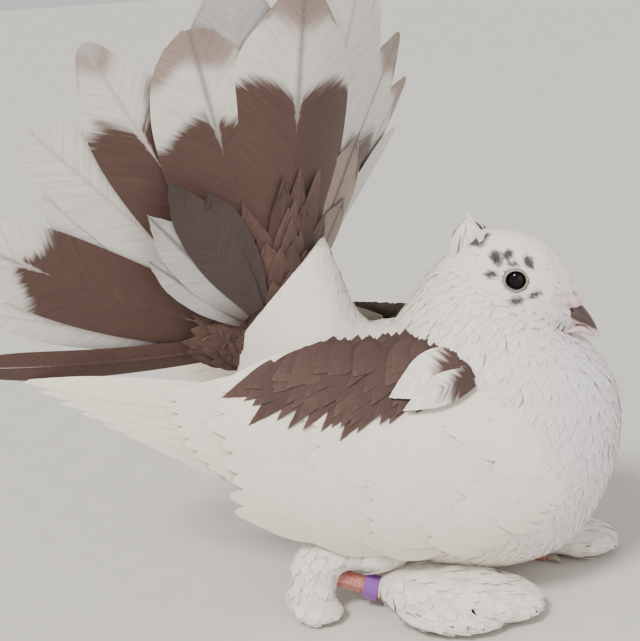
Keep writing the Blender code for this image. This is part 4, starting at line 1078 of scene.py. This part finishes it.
# Crest: a small peak of pointed white feathers at the nape.
# Each grows from the back of the crown and leans forward to one tip.
rng = np.random.default_rng(21)
count = 46
roots = np.stack([rng.uniform(1.0, 15.0, count), rng.uniform(-7.0, 7.0, count),
                  np.zeros(count)], -1)
roots[:, 2] = (135.6 + 0.12 * roots[:, 0] - 0.075 * roots[:, 1] ** 2
               - 0.09 * np.maximum(5 - roots[:, 0], 0) ** 2)
peak = np.array((8.3, 0.0, 147.6))
v = np.linspace(0, 1, 8)
u = np.linspace(-1, 1, 5)
aside = np.hypot((roots[:, 0] - 8.0) / 8.0, roots[:, 1] / 7.0)
tip = roots + (peak - roots) * (1.0 - 0.30 * aside)[:, None] + rng.normal(0, 0.35, (count, 3))
outward = unit(roots - np.array((8.0, 0.0, 130.0)))
spine = roots[:, None] + (tip - roots)[:, None] * v[None, :, None]
spine = spine + outward[:, None] * (1.6 * np.sin(v * math.pi) * aside[:, None])[..., None]
cross = unit(np.cross(tip - roots, outward))
wide = 2.3 * outline(v, 0.7, 0.4, 0.06)
tops = spine[:, :, None] + cross[:, None, None] * (wide[:, None] * u[None])[None, ..., None]
tops = tops - outward[:, None, None] * (0.6 * u ** 2)[None, None, :, None]
under = np.broadcast_to(outward[:, None, None] * 0.22, tops.shape)
rear = np.clip((4.0 - roots[:, 0]) / 3.0, 0, 1)[:, None, None] * (np.abs(u) > 0.7)[None, None]
tints = (CREAM * (0.92 + 0.08 * v)[None, :, None, None]
         * (1 - 0.55 * rear * v[None, :, None])[..., None])
plan = joined((wide[:, None] * u[None] / 100)[None],
              0.16 * v[None, :, None] + np.arange(count)[:, None, None] * 0.7)
spots = (np.stack([0.5 + roots[:, 1] / 60, 0.5 + roots[:, 0] / 60], -1)[:, None, None]
         + joined(0.0015 * u[None], 0.003 * v[:, None] - 0.0015)[None])
made = vane_piece("crest_fine", tops, under, small_coat, np.broadcast_to(tints, tops.shape),
                  [("feather", plan), ("OFBake", spots)], (), outward[:, None, None], 0.6)
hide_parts("crest")


# Legs: feathered thighs, scaly red-brown shanks and toes, and long white
# foot feathers that spread over the toes and hang from the hock.
LEFT_STEP = 28.0


def leg_place(side, point):
    """A right leg's point on its own side; the left leg stands ahead."""
    x, y, z = point
    return np.array((x + LEFT_STEP, y - 6.0, z) if side > 0 else (x, -y, z), float)


def leg_blob(name, side, parts, voxel, relax):
    """Smooth form about a leg, to lay feathers on."""
    moved = [(leg_place(side, c), r, t) for c, r, t in parts]
    return blob(name, moved, skin_coat, voxel, relax)


def form_spots(obj, count, gap, seed):
    """A form's search tree, even spots on it with their normals, and the draws."""
    def numbers(items, key, wide):
        """Numbers of a mesh's points or faces, in rows."""
        out = np.empty(len(items) * wide)
        items.foreach_get(key, out)
        return out.reshape(-1, wide)
    mesh = obj.data
    verts = (numbers(mesh.vertices, "co", 3) - SHIFT) * 1000
    centres = (numbers(mesh.polygons, "center", 3) - SHIFT) * 1000
    normals = numbers(mesh.polygons, "normal", 3)
    area = numbers(mesh.polygons, "area", 1)[:, 0]
    tree = BVHTree.FromPolygons(verts.tolist(), [list(p.vertices) for p in mesh.polygons])
    rng = np.random.default_rng(seed)
    picks = rng.choice(len(centres), count, p=area / area.sum())
    near = centres[picks] + rng.normal(0, 0.3, (count, 3))
    keep = scatter(near, np.full(count, gap), rng)
    return tree, centres[picks][keep], normals[picks][keep], rng


# Least heights over the floor, in metres, of foot feathers and their forms.
FEATHER_FLOOR, FORM_FLOOR = 0.0004, 0.0006


def cream(points):
    """Plain cream at every point."""
    return np.broadcast_to(CREAM, points.shape)


def keep_above(obj, height):
    """Points of a piece moved up to a height over the floor, in metres."""
    points = np.empty(len(obj.data.vertices) * 3, np.float32)
    obj.data.vertices.foreach_get("co", points)
    points[2::3] = np.maximum(points[2::3], height)
    obj.data.vertices.foreach_set("co", points)


def cream_form(form):
    """The smooth form under a coat of feathers, a little darker than they are."""
    paint_points(form.data, "tint", np.broadcast_to(CREAM * 0.9, (len(form.data.vertices), 3)))
    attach(form, "root")


for side, tail in ((-1, "right"), (1, "left")):
    thigh = leg_blob("thigh_form_" + tail, side, [
        ((-4, 22, 44), (20, 14, 17), 0.2), ((-18, 25, 35), (17, 13, 14), 0.3),
        ((-30, 28, 27), (14, 11, 12), 0.4), ((-46, 31, 25), (12, 9, 9), 0.2),
        ((-52, 33, 17), (9.5, 8, 12), 0.2), ((-54, 36, 7), (9.5, 9, 6.5), 0.0),
        ((-50, 41, 4), (10, 9, 3.6), 0.0)], 1.2, 10)
    slipper = leg_blob("slipper_form_" + tail, side, [
        ((-12, 30, 9.5), (17, 14, 9), 0.0), ((4, 32, 9.0), (21, 16, 9), 0.12),
        ((0, 42, 6.0), (21, 14, 5.6), 0.06), ((17, 31, 6.5), (17, 15, 6.6), 0.10),
        ((-4, 24, 8.0), (18, 10, 7.0), 0.0)], 1.0, 10)
    for form, gap, long, half, seed, name in ((thigh, 3.2, 12.0, 2.8, 5, "thigh"),
                                              (slipper, 2.8, 15.0, 2.4, 6, "slipper")):
        tree, spots, facing, rng = form_spots(form, 5000, gap, seed)
        if name == "thigh":
            rear = spots[:, 0] - (LEFT_STEP if side > 0 else 0)
            hang = np.clip((-34 - rear) / 14, 0, 1)[:, None]
            ways = (np.array((-0.8, 0.0, -0.55)) * (1 - hang)
                    + np.array((0.05, 0.1 * side, -1.0)) * hang)
            upper = spots[:, 2] > 4.0
        else:
            ways = (spots - leg_place(side, (-24, 28, 16))) * (1, 1, 0.3)
            upper = spots[:, 2] > 2.6
        spots, facing, ways = spots[upper], facing[upper], ways[upper]
        place = 0.5 + (spots - leg_place(side, (0, 30, 10)))[:, :2] / 160
        made = small_feathers(name + "_feathers_" + tail, spots, facing, ways,
                              np.full(len(spots), long), np.full(len(spots), half), tree,
                              cream, place, rng, rows=7, lift=(-0.7, 0.7),
                              point=0.15, thick=0.2, camber=0.12, share=0.55, stray=0.3)
        keep_above(made, FEATHER_FLOOR)
        if name == "thigh":
            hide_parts("thigh_" + tail)
        else:
            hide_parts("muff_" + tail)
        keep_above(form, FORM_FLOOR)
        cream_form(form)

scaly, face, tree = shader("scaled_skin", 0.5)
place = node(tree, "TexCoord")
scute = node(tree, "TexVoronoi", [("Vector", place.outputs["Object"])], Scale=900.0)
scute = scute.outputs["Distance"]
wire(tree, face, ramp(tree, scute, (170, 92, 84), (196, 132, 120)), scute, Strength=0.6,
     Distance=0.0004, invert=True)
nail = mottled("claw_horn", 0.35, 500.0, (120, 100, 90), (198, 180, 166))
violet = mottled("band_plastic", 0.3, 300.0, (120, 66, 150), (142, 86, 170))
for name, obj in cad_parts.items():
    finish = scaly if name.startswith(("foot", "shank")) else None
    finish = nail if name.startswith("claw") else finish
    finish = violet if name == "leg_band" else finish
    if finish:
        for slot in obj.material_slots:
            slot.material = finish


# Back: soft white feathers that bridge the hollow between the tops of the two
# folded wings, from the neck to the rump.
mantle = blob("mantle_form", [((-22, 0, 90), (31, 36, 13.6), 0.0),
                              ((-8, 0, 92), (20, 30, 12), -0.15)], skin_coat, 1.4, 8)
tree, spots, facing, rng = form_spots(mantle, 7000, 2.6, 8)
upper = spots[:, 2] > 90.0
spots, facing = spots[upper], facing[upper]
made = small_feathers("mantle_feathers", spots, facing,
                      np.tile(np.array((-1.0, 0.0, -0.1)), (len(spots), 1)),
                      np.full(len(spots), 10.0), np.full(len(spots), 2.6), tree,
                      cream, 0.5 + spots[:, :2] / 160, rng, rows=7, lift=(-0.6, 0.5),
                      point=0.2, thick=0.15, camber=0.1, share=0.8, stray=0.08)
cream_form(mantle)
